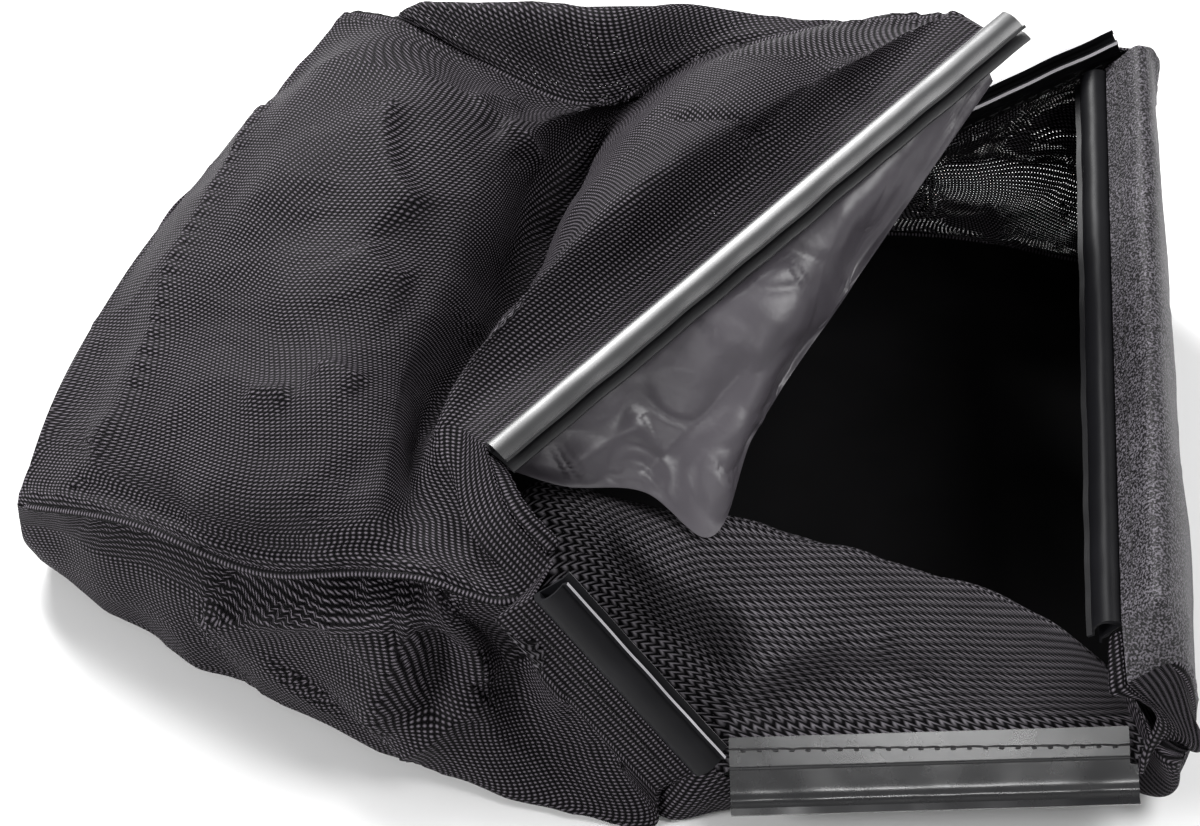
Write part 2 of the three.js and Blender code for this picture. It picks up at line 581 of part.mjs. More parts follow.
function buildBag() {
  const group = new THREE.Group();
  group.name = 'grass_bag';
  const add = (name, geometry, look) => {
    const mesh = new THREE.Mesh(geometry, look);
    mesh.name = name;
    group.add(mesh);
  };
  const [top, right, left, bottom] = [topPanel(), rightPanel(), leftPanel(), bottomPanel()];
  const panels = { top, right, left, bottom, rear: rearPanel(top, right, left, bottom) };
  const cut = openSeams(panels);
  const sheet = (name, key, look) => add(name, shell(cut[key], panelNormals(panels[key])), look);
  sheet('top_panel', 'top', knitMesh());
  sheet('right_side_panel', 'right', knitMesh());
  sheet('left_side_panel', 'left', knitMesh());
  sheet('bottom_panel', 'bottom', coatedCloth());
  sheet('rear_panel', 'rear', knitMesh());
  const liner = dustLiner();
  add('dust_liner', shell(liner, panelNormals(liner)), smoothVinyl());
  add('top_clip', clipGeometry(TOP, 0, TOP_FLANGE_SHORT), clipPlastic());
  add('right_upper_clip', clipGeometry(RIGHT_UPPER, SIDE_FLANGE_SHORT), clipPlastic());
  add('right_lower_clip', clipGeometry(RIGHT_LOWER, 0, CORNER_FLANGE_SHORT), clipPlastic());
  add('bottom_clip', clipGeometry(BOTTOM), clipPlastic());
  add('left_lower_clip', clipGeometry(LEFT_LOWER), clipPlastic());
  add('left_upper_clip', clipGeometry(LEFT_UPPER, SIDE_FLANGE_SHORT), clipPlastic());
  const part = ({ grid }, i, from, to) => grid[i].slice(from, to + 1);
  const hem = (name, pieces, endGap = HEM_END_GAP) => {
    const [rim, inner] = [0, 1].map((i) => pieces.flatMap(([panel, from, to]) => part(panel, i, from, to)));
    add(name, hemGeometry(rim, inner, endGap), knitMesh());
  };
  const last = ({ grid }) => grid[0].length - 1;
  hem('top_right_hem', [[top, 0, top.strips[0].from]]);
  hem('top_left_hem', [[top, top.strips[0].to + 1, last(top)], [left, 1, left.strips[0].from]]);
  hem('bottom_right_hem', [[right, right.strips[1].to, last(right)], [bottom, 1, bottom.strips[0].from]]);
  hem('bottom_left_hem', [[bottom, bottom.strips[0].to, last(bottom)]], HEM_FOLD_GAP);
  const box = new THREE.Box3().setFromObject(group);
  const centre = box.getCenter(v(0, 0, 0));
  for (const mesh of group.children) mesh.geometry.translate(-centre.x, -centre.y, -box.min.z);
  return group;
}

export default buildBag();
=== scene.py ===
import math
from collections import namedtuple
from functools import partial

import bpy
import numpy as np
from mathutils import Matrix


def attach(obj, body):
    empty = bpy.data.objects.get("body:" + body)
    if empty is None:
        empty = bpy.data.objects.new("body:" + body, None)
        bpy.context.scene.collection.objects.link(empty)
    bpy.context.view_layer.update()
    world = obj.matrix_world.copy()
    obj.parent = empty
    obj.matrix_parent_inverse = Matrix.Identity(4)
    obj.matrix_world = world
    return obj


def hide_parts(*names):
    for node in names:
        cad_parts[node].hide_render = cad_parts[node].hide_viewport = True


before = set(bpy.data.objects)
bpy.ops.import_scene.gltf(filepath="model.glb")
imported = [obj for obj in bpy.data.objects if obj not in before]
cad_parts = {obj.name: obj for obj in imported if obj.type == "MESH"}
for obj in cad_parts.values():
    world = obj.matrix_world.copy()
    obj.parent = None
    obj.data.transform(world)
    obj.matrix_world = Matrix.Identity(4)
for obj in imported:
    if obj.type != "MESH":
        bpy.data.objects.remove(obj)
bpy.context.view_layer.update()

# Lengths are in millimetres and are turned to metres when a mesh is made.
# The solids' frame has its origin below the middle of the bag's box. This is that middle in the bag's frame.
MIDDLE = np.array([3.835, -53.811, 0.0])
MM = 0.001

# Finer steps than the solids have, along the rim and from rim to rear.
ACROSS = 8
DOWN = 9

# Thickness of each sheet.
MESH_THICKNESS = 1.2
COATED_THICKNESS = 1.6
LINER_THICKNESS = 0.8
FLOOR = COATED_THICKNESS / 2
LOW = FLOOR + 0.5

# Frame clips.
CLIP_WALL = 1.4
CLIP_CLEARANCE = 0.3
FLANGE_WIDTH = 16
STRIP_WIDTH = 19
CHANNEL_REACH = 21
CHANNEL_DEPTH = 9
CHANNEL_START = 1.2
CHANNEL_ROOT_WALL = 3.4
CHANNEL_EASE = 4
SLOT_WIDTH = 3.4
LIP_LENGTH = 3
LIP_FLARE = 2.2
OUTER_LIP_FLARE = 1.5
LIP_BEVEL = 0.6
TOP_FLANGE_SHORT = 24
SIDE_FLANGE_SHORT = 12
CORNER_FLANGE_SHORT = 4

# On the die-drawn wall: a fine step where the flange starts and a low crown before the lip.
FLANGE_STEP = 0.5
FLANGE_STEP_AT = 1.5
FLANGE_TILT = 0.05
WALL_CROWN = 0.9
WALL_CROWN_AT = -14.5
WALL_CROWN_REACH = 2.6

# The wall's slow waves along a clip, and the spacing of its rings.
CLIP_RING_STEP = 3
CLIP_WAVE_HEIGHT = 0.16
CLIP_WAVE_PERIODS = (31.0, 53.0, 97.0)

Clip = namedtuple("Clip", "length cloth middle a l n")


def unit(ways):
    """The same ways, each with a length of 1."""
    return ways / np.linalg.norm(ways, axis=-1, keepdims=True)


def clip_frame(length, cloth, middle, along, lay, inside):
    """A clip's place: its middle, the unit way along it, the way the cloth leaves it and its inner side."""
    middle, along, lay, inside = (np.array(x, float) for x in (middle, along, lay, inside))
    a = unit(along)
    l = unit(lay - a * (lay @ a))
    n = np.cross(a, l)
    return Clip(length, cloth, middle, a, l, n if n @ inside > 0 else -n)


TOP = clip_frame(340, MESH_THICKNESS, (73, -76, 203.5), (254, 205, 97), (-0.58, 0.72, -0.2), (0.3, 0, -1))
RIGHT_UPPER = clip_frame(
    126, MESH_THICKNESS, (6, -262, 80), (-76, 24, 100), (-0.75, -0.1, -0.65), (0.2, 1, -0.1))
RIGHT_LOWER = clip_frame(195, MESH_THICKNESS, (159.5, -275, 37), (194, 1, 8), (0, 0.7, 0.72), (0, -0.7, 0.7))
BOTTOM = clip_frame(
    343, COATED_THICKNESS, (257, -82, 142.5), (27, 341, 60), (0.52, -0.06, 0.84), (0.5, 0, -1))
LEFT_LOWER = clip_frame(
    195, MESH_THICKNESS, (191.5, 91, 131.5), (-174, -33, -77), (-0.1, 0.45, -0.88), (0.2, -1, -0.3))
LEFT_UPPER = clip_frame(
    126, MESH_THICKNESS, (133, 51.5, 148), (107, -1, 104), (0.1, 0.9, 0.2), (0.6, 0, -0.8))


def on_clip(clip, t, s, n=0.0):
    """The clip's middle, moved t of its length along it, s into the cloth and n to the inner side."""
    return clip.middle + clip.a * t * clip.length + clip.l * s + clip.n * n


def beside(clip, t, row, x, y, z):
    """A point of the rim beside a clip's end. Row 0 is the cloth edge, row 1 is one strip width in."""
    return on_clip(clip, t, row * STRIP_WIDTH) + (x, y, z)


# Seam lines, from the rim corner to the rear.
TOP_CLOTH_END = 0.47
TOP_RIGHT_SEAM = [
    beside(RIGHT_UPPER, 0.5, 0, 9.4, 18.2, 4.7), beside(RIGHT_UPPER, 0.5, 1, 14.7, 13.8, 3.9),
    (-44, -242, 118), (-63, -237, 118), (-80, -231, 120), (-109, -223, 116), (-158, -209, 100),
    (-231, -168, 92), (-296, -126, 60)]
TOP_LEFT_SEAM = [
    beside(TOP, TOP_CLOTH_END, 0, 7.8, 15.8, -15), beside(TOP, TOP_CLOTH_END, 1, 5.6, 14.6, -11.3),
    (170, 58, 228), (130, 74, 212), (54, 95, 172), (-5, 72, 160), (-65, 102, 165), (-110, 140, 163),
    (-142, 166, 150)]
BOTTOM_RIGHT_SEAM = [
    beside(BOTTOM, -0.5, 0, 2.3, -19.6, -20.9), beside(BOTTOM, -0.5, 1, 5.6, -13.1, -28.4),
    (283, -262, 55), (271, -257, 6), (215, -238, LOW), (80, -230, LOW), (-60, -223, LOW),
    (-190, -168, LOW), (-285, -100, LOW + 1.5)]
BOTTOM_LEFT_SEAM = [
    beside(BOTTOM, 0.5, 0, 18.7, 14.6, 1.9), beside(BOTTOM, 0.5, 1, 12, 13.1, -9.7),
    (300, 99, 128), (290, 112, 14), (230, 140, LOW), (110, 150, LOW), (-30, 156, LOW),
    (-105, 165, LOW), (-142, 166, LOW + 1.5)]

# Rows of points that each panel's cloth passes through, behind its two rim rows.
ROW_STEPS = [1, 3, 2, 3, 2, 2, 2, 2]
TOP_STEPS = [4, 8, 8, 2]
TOP_ROWS = [
    [(-76, -160, 150), (19, -65, 218), (130, 17, 238)],
    [(-83, -161, 135), (-12, -70, 200), (71, 28, 226)],
    [(-90, -168, 124), (-44, -35, 118), (5, 82, 146)],
    [(-104, -193, 135), (-85, -70, 150), (-32, 53, 165)],
    [(-163, -191, 118), (-155, -70, 150), (-90, 78, 172)],
    [(-234, -138, 98), (-211, -31, 128), (-140, 104, 165)],
    [(-287, -77, 72), (-253, 9, 95), (-174, 127, 130)]]
RIGHT_STEPS = [1, 3, 3, 2, 2, 2, 7, 2, 2]
RIGHT_ROWS = [
    [(-32, -252, 95), (0, -265, 42), (27, -283, 5), (-26, -222, 64), (-36, -170, 116), (44, -184, 113),
     (241, -255, 84), (277, -276, 48)],
    [(-45, -236, 68), (-29, -257, 30), (-12, -278, 5), (-34, -218, 34), (-46, -152, 70), (46, -160, 62),
     (226, -228, 44), (276, -277, 22)],
    [(-62, -238, 85), (-63, -251, 45), (-59, -265, 5), (-30, -262, 4), (0, -256, 4), (45, -250, 3.5),
     (168, -244, 3), (202, -242, 2.4)],
    [(-95, -233, 94), (-104, -246, 50), (-106, -243, 6), (-75, -243, 4), (-50, -241, 3.5), (-20, -239, 3),
     (40, -237, 2.4), (64, -234, 2)],
    [(-161, -209, 66), (-174, -206, 35), (-176, -200, 6), (-150, -208, 4), (-130, -213, 3.5),
     (-110, -217, 3), (-84, -223, 2.4), (-71, -224, 2)],
    [(-228, -171, 62), (-238, -168, 35), (-242, -158, 6), (-230, -163, 4), (-221, -166, 3.5),
     (-212, -168, 3), (-201, -170, 2.4), (-195, -170, 2)],
    [(-298, -121, 42), (-298, -119, 24), (-293, -113, 9), (-292, -110, 7), (-290, -107, 6),
     (-289, -105, 5), (-287, -103, 4), (-286, -102, 3.5)]]
LEFT_STEPS = [2, 3, 4, 2, 10, 3]
LEFT_ROWS = [
    [(166, 84, 200), (134, 86, 156), (96, 86, 110), (105, 100, 60), (284, 124, 120)],
    [(124, 98, 196), (114, 104, 160), (96, 108, 114), (100, 118, 60), (270, 142, 48)],
    [(60, 118, 188), (66, 132, 160), (72, 142, 120), (75, 150, 62), (190, 152, 10)],
    [(8, 106, 196), (18, 126, 172), (25, 144, 128), (26, 158, 70), (85, 160, 8)],
    [(-55, 117, 190), (-48, 138, 166), (-40, 156, 130), (-40, 166, 75), (-34, 158, 8)],
    [(-104, 141, 172), (-95, 160, 146), (-86, 178, 110), (-86, 184, 65), (-98, 174, 8)],
    [(-139, 174, 128), (-136, 180, 102), (-134, 184, 72), (-133, 184, 45), (-138, 174, 10)]]
BOTTOM_STEPS = [2, 9, 9, 2]
BOTTOM_ROWS = [
    [(284, -236, 76), (294, -60, 96), (301, 82, 124)],
    [(264, -228, FLOOR), (270, -60, FLOOR), (284, 84, FLOOR)],
    [(214, -205, FLOOR), (214, -60, FLOOR), (225, 100, FLOOR)],
    [(80, -200, FLOOR), (90, -50, FLOOR), (105, 100, FLOOR)],
    [(-60, -193, FLOOR), (-50, -40, FLOOR), (-35, 115, FLOOR)],
    [(-188, -140, FLOOR), (-160, -10, FLOOR), (-112, 130, FLOOR)],
    [(-272, -72, FLOOR), (-222, 35, FLOOR), (-160, 140, FLOOR)]]


def lace(points, steps, straight_start=False):
    """A smooth line through points, which can be whole rows of points laced at once.

    Each span is a cubic whose end tangents are the mean of the two chord directions at that point, each
    weighted by the other chord's length, times the span's own chord. A straight first span keeps its
    direction at its second point."""
    points = np.asarray(points, float)
    span = np.diff(points, axis=0)
    chord = np.linalg.norm(span, axis=-1, keepdims=True).clip(1e-6)
    way = span / chord
    tangent = np.empty_like(points)
    tangent[0], tangent[-1] = way[0], way[-1]
    tangent[1:-1] = (way[:-1] * chord[1:] + way[1:] * chord[:-1]) / (chord[:-1] + chord[1:])
    if straight_start:
        tangent[1] = way[0]
    parts = [points[:1]]
    for i, count in enumerate(steps):
        t = (np.arange(1, count + 1) / count).reshape((-1,) + (1,) * (points.ndim - 1))
        start = points[i] * (2 * t**3 - 3 * t**2 + 1) + tangent[i] * chord[i] * (t**3 - 2 * t**2 + t)
        end = points[i + 1] * (3 * t**2 - 2 * t**3) + tangent[i + 1] * chord[i] * (t**3 - t**2)
        parts.append(start + end)
    return np.concatenate(parts)


def rim(*stretches):
    """The rim's stretches, each (points, steps), laced one by one and joined end to end."""
    lines = [lace(points, [k * ACROSS for k in steps]) for points, steps in stretches]
    return np.concatenate(lines[:1] + [line[1:] for line in lines[1:]])


def panel_net(rim_row, seam_a, rows, seam_b, column_steps):
    """A panel's middle surface: each row laced from seam to seam, then every column from rim to rear.

    rim_row gives the cloth's edge for 0 and the row one strip width in for 1. What would sink below the
    ground lies on it."""
    lines = [lace([seam_a[i + 2], *row, seam_b[i + 2]], [k * ACROSS for k in column_steps])
             for i, row in enumerate(rows)]
    net = lace(np.stack([rim_row(0), rim_row(1), *lines]), [k * DOWN for k in ROW_STEPS], straight_start=True)
    net[..., 2] = np.maximum(net[..., 2], FLOOR)
    return net


def top_rim(r):
    near = on_clip(TOP, -0.5, r * STRIP_WIDTH)
    far = on_clip(TOP, TOP_CLOTH_END, r * STRIP_WIDTH)
    fold = (beside(TOP, -0.5, 0, 10.8, -32.7, -9.1), beside(TOP, -0.5, 1, 4.6, -48.8, -17.4))[r]
    return rim(([TOP_RIGHT_SEAM[r], fold, near], [2, 2]), ([near, far], [16]), ([far, TOP_LEFT_SEAM[r]], [2]))


def right_rim(r):
    lower, upper = (on_clip(RIGHT_UPPER, t, r * STRIP_WIDTH) for t in (-0.5, 0.5))
    left, right = (on_clip(RIGHT_LOWER, t, r * STRIP_WIDTH) for t in (-0.5, 0.5))
    turn = (beside(RIGHT_LOWER, -0.5, 0, -10.1, -1.5, -4.1),
            beside(RIGHT_LOWER, -0.5, 1, -21.5, -9.8, -22.7))[r]
    roll = (beside(RIGHT_LOWER, 0.5, 0, 11, -1.5, 25.1), beside(RIGHT_LOWER, 0.5, 1, 28, -13, -6.5))[r]
    return rim(([TOP_RIGHT_SEAM[r], upper], [1]), ([upper, lower], [6]), ([lower, turn, left], [3, 3]),
               ([left, right], [7]), ([right, roll, BOTTOM_RIGHT_SEAM[r]], [2, 2]))


def left_rim(r):
    lower, upper = (on_clip(LEFT_UPPER, t, r * STRIP_WIDTH) for t in (-0.5, 0.5))
    outer, inner = (on_clip(LEFT_LOWER, t, r * STRIP_WIDTH) for t in (-0.5, 0.5))
    return rim(([TOP_LEFT_SEAM[r], upper], [2]), ([upper, lower], [7]), ([lower, inner], [2]),
               ([inner, outer], [10]), ([outer, BOTTOM_LEFT_SEAM[r]], [3]))


def bottom_rim(r):
    near, far = (on_clip(BOTTOM, t, r * STRIP_WIDTH) for t in (-0.5, 0.5))
    return rim(([BOTTOM_RIGHT_SEAM[r], near], [2]), ([near, far], [18]), ([far, BOTTOM_LEFT_SEAM[r]], [2]))


# Rear panel.
REAR_OUT = np.array([-0.85, 0.5, 0.0])
REAR_BULGE = 7
REAR_LIFT = 1


def points_at(line, run, at):
    """Points of a line whose own points have the given runs, at other runs between them."""
    return np.stack([np.interp(at, run, line[:, k]) for k in range(3)], axis=1)


def run_along(line):
    """Each point's distance along a line, in millimetres."""
    return np.concatenate([[0], np.cumsum(np.linalg.norm(np.diff(line, axis=0), axis=1))])


def resample(line, count):
    """count points on a line, evenly spaced in its own steps."""
    return points_at(line, np.arange(len(line)), np.linspace(0, len(line) - 1, count))


def rear_net(top, right, left, bottom):
    """A patch between the last rows of the other four panels, blended from its four edges.

    It bulges out by a sine over its height times a sine over its width."""
    rows, columns = 12 * ACROSS + 1, 11 * ACROSS + 1
    up, down = resample(top[-1], columns)[None], resample(bottom[-1], columns)[None]
    near, far = resample(right[-1], rows)[:, None], resample(left[-1], rows)[:, None]
    a = np.linspace(0, 1, rows)[:, None, None]
    b = np.linspace(0, 1, columns)[None, :, None]
    net = up * (1 - a) + down * a + near * (1 - b) + far * b
    net -= up[:, :1] * (1 - a) * (1 - b) + up[:, -1:] * (1 - a) * b
    net -= down[:, :1] * a * (1 - b) + down[:, -1:] * a * b
    net += REAR_OUT * REAR_BULGE * np.sin(np.pi * a) * np.sin(np.pi * b)
    net[..., 2] = np.maximum(net[..., 2], FLOOR + REAR_LIFT)
    return net


# Corner hems.
HEM_WIDTH = 9
HEM_THICKNESS = 4.4
HEM_CLEARANCE = 0.8
HEM_SIDES = 24
HEM_RING_STEP = 0.9
HEM_ROUNDNESS = 0.8
HEM_END = 3.0
HEM_PUCKERS = [(0.06, 7)]

# Sewn edges along the seams, drawn a little above the ground.
SEAM_RING_STEP = 1.1
SEAM_SIDES = 14
SEAM_LOW = 0.1
SEAM_END = 5.0
SEAM_PUCKERS = [(0.05, 8), (0.04, 21)]

# Dust liner.
LINER_GAP = 0.3
LINER_SEAM = 13
LINER_BEND = 2
LINER_SLACK = 0.5
LINER_ALONG = [-0.48, -0.34, -0.18, -0.02, 0.15, 0.3, 0.45]
LINER_EDGE = [
    (-44, -176, 138), (-19, -183, 134), (22, -184, 130), (50, -202, 118), (74, -152, 136), (122, -86, 170),
    (195, -3, 236)]


def clip_face(clip):
    """How far a clip's flat wall starts from the cloth's middle surface."""
    return clip.cloth / 2 + CLIP_CLEARANCE


def liner_net():
    """Three lines laced from end to end, under the flange, at the bend and at the free edge, then joined."""
    under = clip_face(TOP) + CLIP_WALL + LINER_GAP + LINER_THICKNESS / 2
    seam = [on_clip(TOP, t, LINER_SEAM, under) for t in LINER_ALONG]
    bend = [on_clip(TOP, t, LINER_BEND, under + LINER_SLACK) for t in LINER_ALONG]
    lines = [lace(points, [3 * ACROSS] * 6) for points in (seam, bend, LINER_EDGE)]
    return lace(np.stack(lines), [2 * ACROSS, 5 * ACROSS * 2])


def linear(value):
    """An sRGB hex colour as linear red, green, blue and alpha."""
    parts = [int(value[k:k + 2], 16) / 255 for k in (1, 3, 5)]
    return tuple(p / 12.92 if p <= 0.04045 else ((p + 0.055) / 1.055) ** 2.4 for p in parts) + (1.0,)


def add_node(tree, kind, inputs, output=0, **settings):
    """Adds a node with its settings and links, and returns one of its outputs.

    inputs are sockets or plain values, in the node's own order or by name or number."""
    node = tree.nodes.new("ShaderNode" + kind)
    for key, value in settings.items():
        setattr(node, key, value)
    for key, value in (inputs.items() if isinstance(inputs, dict) else enumerate(inputs)):
        if isinstance(value, bpy.types.NodeSocket):
            tree.links.new(value, node.inputs[key])
        else:
            node.inputs[key].default_value = value
    return node.outputs[output] if node.outputs else None


def new_material(name):
    """A material with an empty node tree, and add_node for that tree."""
    made = bpy.data.materials.new(name)
    made.use_nodes = True
    made.node_tree.nodes.clear()
    return made, partial(add_node, made.node_tree)


def finished(made, node, inputs):
    """The material with these inputs on its shader."""
    node("OutputMaterial", [node("BsdfPrincipled", inputs)])
    return made


# Knit pitches on the cloth, in millimetres.
WALE = 3.1
COURSE = 2.0
CHEVRON_WIDTH = 5.6
CHEVRON_STEP = 3.8
CHEVRON_LEAN = 0.7


def knit_material(name, chevron, light, open_at=1.5):
    """Warp-knitted polyester mesh: pillars of loops side by side, with dark pits and open holes between.

    The eye sees fine rows of lit loops, and light through the holes. Each loop is a bump that falls off
    with the square of its distance along and across, and the colour follows the square of that bump: a
    painted highlight at each loop's crest and painted shade in the pits. The inner face shows the laps as
    chevrons. light is the colour painted at the loops' crests as their highlight, and a higher open_at
    makes the holes smaller."""
    made, node = new_material(name)
    uv = node("UVMap", [], uv_map="cloth")
    u = node("SeparateXYZ", [uv], "X")
    v = node("SeparateXYZ", [uv], "Y")
    wale = node("Math", [u, CHEVRON_WIDTH] if chevron else [v, WALE], operation="DIVIDE")
    half = node("Math", [wale, 0.5], operation="PINGPONG")
    across = node("Math", [half, 2.0], operation="MULTIPLY")
    step = node("Math", [v, CHEVRON_STEP] if chevron else [u, COURSE], operation="DIVIDE")
    if chevron:
        lean = node("Math", [across, CHEVRON_LEAN], operation="MULTIPLY")
        step = node("Math", [step, lean], operation="ADD")
    half = node("Math", [step, 0.5], operation="PINGPONG")
    along = node("Math", [half, 2.0], operation="MULTIPLY")
    gap = node("Math", [1.0, along], operation="SUBTRACT")
    far_along = node("Math", [gap, gap], operation="MULTIPLY")
    far_across = node("Math", [across, across], operation="MULTIPLY")
    far = node("Math", [far_across, 0.35 if chevron else 0.9, far_along], operation="MULTIPLY_ADD")
    loop = node("Math", [far, -1.5, 1.0], operation="MULTIPLY_ADD", use_clamp=True)
    reach = node("Math", [far_along, far_across], operation="ADD")
    hole = node("Math", [reach, open_at], operation="GREATER_THAN")
    place = node("TexCoord", [], "Object")
    patch = node("TexNoise", {"Vector": place, "Scale": 22.0, "Detail": 3.0})
    fuzz = node("TexNoise", {"Vector": uv, "Scale": 1.4, "Detail": 2.0})
    # lit is the square of each loop's bump: a painted highlight at its crest and painted shade towards the
    # pits.
    lit = node("Math", [loop, loop], operation="MULTIPLY")
    cloud = node("Math", [patch, 0.5, 0.72], operation="MULTIPLY_ADD")
    grain = node("Math", [fuzz, 0.9, 0.5], operation="MULTIPLY_ADD")
    tone = node("Math", [lit, cloud], operation="MULTIPLY")
    tone = node("Math", [tone, grain], operation="MULTIPLY", use_clamp=True)
    return finished(made, node, {
        "Base Color": node("Mix", {0: tone, 6: linear("#060507"), 7: linear(light)}, 2, data_type="RGBA"),
        "Normal": node("Bump", {"Height": loop, "Strength": 0.8, "Distance": 0.001}),
        "Alpha": node("Math", [1.0, hole], operation="SUBTRACT"),
        "Roughness": 0.6, "Specular IOR Level": 0.08})


def coated_outside():
    """Woven cloth with a foamed coating on its outer face: the eye sees a fine pebbled speckle."""
    made, node = new_material("coated_cloth_grained")
    place = node("TexCoord", [], "Object")
    grain = node("TexNoise", {"Vector": place, "Scale": 880.0, "Detail": 1.0})
    cloud = node("TexNoise", {"Vector": place, "Scale": 40.0, "Detail": 3.0})
    pebble = node("Math", [grain, 4.5, -1.95], operation="MULTIPLY_ADD", use_clamp=True)
    cloud = node("Math", [cloud, 0.8, 0.5], operation="MULTIPLY_ADD")
    tone = node("Math", [pebble, cloud], operation="MULTIPLY", use_clamp=True)
    return finished(made, node, {
        "Base Color": node("Mix", {0: tone, 6: linear("#121113"), 7: linear("#6c686f")}, 2, data_type="RGBA"),
        "Normal": node("Bump", {"Height": pebble, "Strength": 0.5, "Distance": 0.0006}),
        "Roughness": 0.5, "Specular IOR Level": 0.3})


def coated_inside():
    """The same cloth's smooth inner face, a flat black film with a faint sheen. Its near-black colour is
    partly the film's own black and partly painted shade for the bag's shaded inside.
    """
    made, node = new_material("coated_cloth_smooth")
    place = node("TexCoord", [], "Object")
    cloud = node("TexNoise", {"Vector": place, "Scale": 30.0, "Detail": 5.0})
    return finished(made, node, {
        "Base Color": node("Mix", {0: cloud, 6: linear("#050506"), 7: linear("#0c0b0d")}, 2, data_type="RGBA"),
        "Normal": node("Bump", {"Height": cloud, "Strength": 0.25, "Distance": 0.001}),
        "Roughness": 0.7, "Specular IOR Level": 0.12})


def vinyl_sheet():
    """Calendered vinyl, satin: soft wide lights that follow its wrinkles, with a grey bloom."""
    made, node = new_material("calendered_vinyl")
    place = node("TexCoord", [], "Object")
    bloom = node("TexNoise", {"Vector": place, "Scale": 18.0, "Detail": 5.0})
    fine = node("TexNoise", {"Vector": place, "Scale": 60.0, "Detail": 3.0})
    return finished(made, node, {
        "Base Color": node("Mix", {0: bloom, 6: linear("#302d32"), 7: linear("#59555b")}, 2, data_type="RGBA"),
        "Normal": node("Bump", {"Height": fine, "Strength": 0.25, "Distance": 0.003}),
        "Roughness": node("Math", [bloom, 0.2, 0.3], operation="MULTIPLY_ADD"), "IOR": 1.53})


def extruded_pvc(name, coat, coat_rough, rough_from, shine):
    """Black PVC drawn through a die: glossy where it is new, dull where it is rubbed, with faint waves.

    The eye sees long lights that run along it, sharp under a coat and wide without one."""
    made, node = new_material(name)
    place = node("TexCoord", [], "Object")
    wave = node("TexNoise", {"Vector": place, "Scale": 35.0, "Detail": 2.0})
    dust = node("TexNoise", {"Vector": place, "Scale": 90.0, "Detail": 3.0})
    return finished(made, node, {
        "Base Color": node("Mix", {0: wave, 6: linear("#0e0e10"), 7: linear("#19191c")}, 2, data_type="RGBA"),
        "Normal": node("Bump", {"Height": wave, "Strength": 0.3, "Distance": 0.002}),
        "Roughness": node("Math", [dust, 0.08, rough_from], operation="MULTIPLY_ADD"),
        "IOR": 1.54, "Specular IOR Level": shine, "Coat Weight": coat, "Coat Roughness": coat_rough})


def painted_edge_highlight():
    """The thin edge of a PVC lip, painted near white: a painted highlight, one fine light line along it."""
    made, node = new_material("pvc_edge_painted_highlight")
    highlight_noise = node("TexNoise", {"Vector": node("TexCoord", [], "Object"), "Scale": 25.0, "Detail": 2.0})
    return finished(made, node, {
        "Base Color": node("Mix", {0: highlight_noise, 6: linear("#6a686c"), 7: linear("#d8d6da")}, 2, data_type="RGBA"),
        "Roughness": 0.35, "IOR": 1.54})


def thread_material():
    """Twisted polyester sewing thread, black with a slight shine: a fine dark line beside the clips."""
    made, node = new_material("sewing_thread")
    ply = node("TexNoise", {"Vector": node("TexCoord", [], "Object"), "Scale": 900.0})
    return finished(made, node, {
        "Base Color": node("Mix", {0: ply, 6: linear("#0d0c0e"), 7: linear("#232124")}, 2, data_type="RGBA"),
        "Roughness": 0.5})


# Each knit's last colour is the painted highlight at its loops' crests.
KNIT_OUT = knit_material("warp_knit_outside", False, "#756f77")
KNIT_IN = knit_material("warp_knit_inside", True, "#777379")
# The far panel's inner face: a stretched knit with bigger holes, and a lighter yarn colour as painted light
# where little light reaches inside the bag.
KNIT_OPEN_PAINTED_LIGHT = knit_material("warp_knit_stretched_painted_light", False, "#9a959c", 0.95)
COATED_OUT = coated_outside()
COATED_IN = coated_inside()
VINYL = vinyl_sheet()
PVC_GLOSSY = extruded_pvc("extruded_pvc_glossy", 1.0, 0.2, 0.24, 0.5)
PVC_SATIN = extruded_pvc("extruded_pvc_satin", 1.0, 0.36, 0.4, 0.5)
PVC_DULL = extruded_pvc("extruded_pvc_dull", 0.0, 0.3, 0.38, 0.12)
PVC_EDGE_HIGHLIGHT = painted_edge_highlight()
THREAD = thread_material()
KNIT = [KNIT_OUT, KNIT_IN]


def add_object(name, data):
    """A new object in the scene."""
    thing = bpy.data.objects.new(name, data)
    bpy.context.scene.collection.objects.link(thing)
    return thing


def make_piece(name, points, faces, materials, uv=None, index=None, sharp=60.0):
    """A mesh object from points in millimetres in the bag's frame, riding on the one body."""
    mesh = bpy.data.meshes.new(name)
    mesh.from_pydata(((points - MIDDLE) * MM).tolist(), [], faces)
    for made in materials:
        mesh.materials.append(made)
    if index is not None:
        mesh.polygons.foreach_set("material_index", index.astype(np.int32))
    mesh.polygons.foreach_set("use_smooth", np.ones(len(mesh.polygons), bool))
    if uv is not None:
        corner = np.empty(len(mesh.loops), np.int32)
        mesh.loops.foreach_get("vertex_index", corner)
        mesh.uv_layers.new(name="cloth").data.foreach_set("uv", uv[corner].ravel())
    mesh.set_sharp_from_angle(angle=math.radians(sharp))
    mesh.update()
    piece = add_object(name, mesh)
    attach(piece, "root")
    return piece


def net_normals(net, outward):
    """Unit normals of a net: the cross product of its two central differences, pointing outward."""
    cross = np.cross(np.gradient(net, axis=0), np.gradient(net, axis=1))
    return outward * cross / np.linalg.norm(cross, axis=-1, keepdims=True).clip(1e-9)


def net_lengths(net):
    """Each point's run of cloth from the first column and from the first row, in millimetres."""
    u = np.zeros(net.shape[:2])
    v = np.zeros(net.shape[:2])
    u[:, 1:] = np.cumsum(np.linalg.norm(np.diff(net, axis=1), axis=-1), axis=1)
    v[1:] = np.cumsum(np.linalg.norm(np.diff(net, axis=0), axis=-1), axis=0)
    return np.stack([u, v], axis=-1)


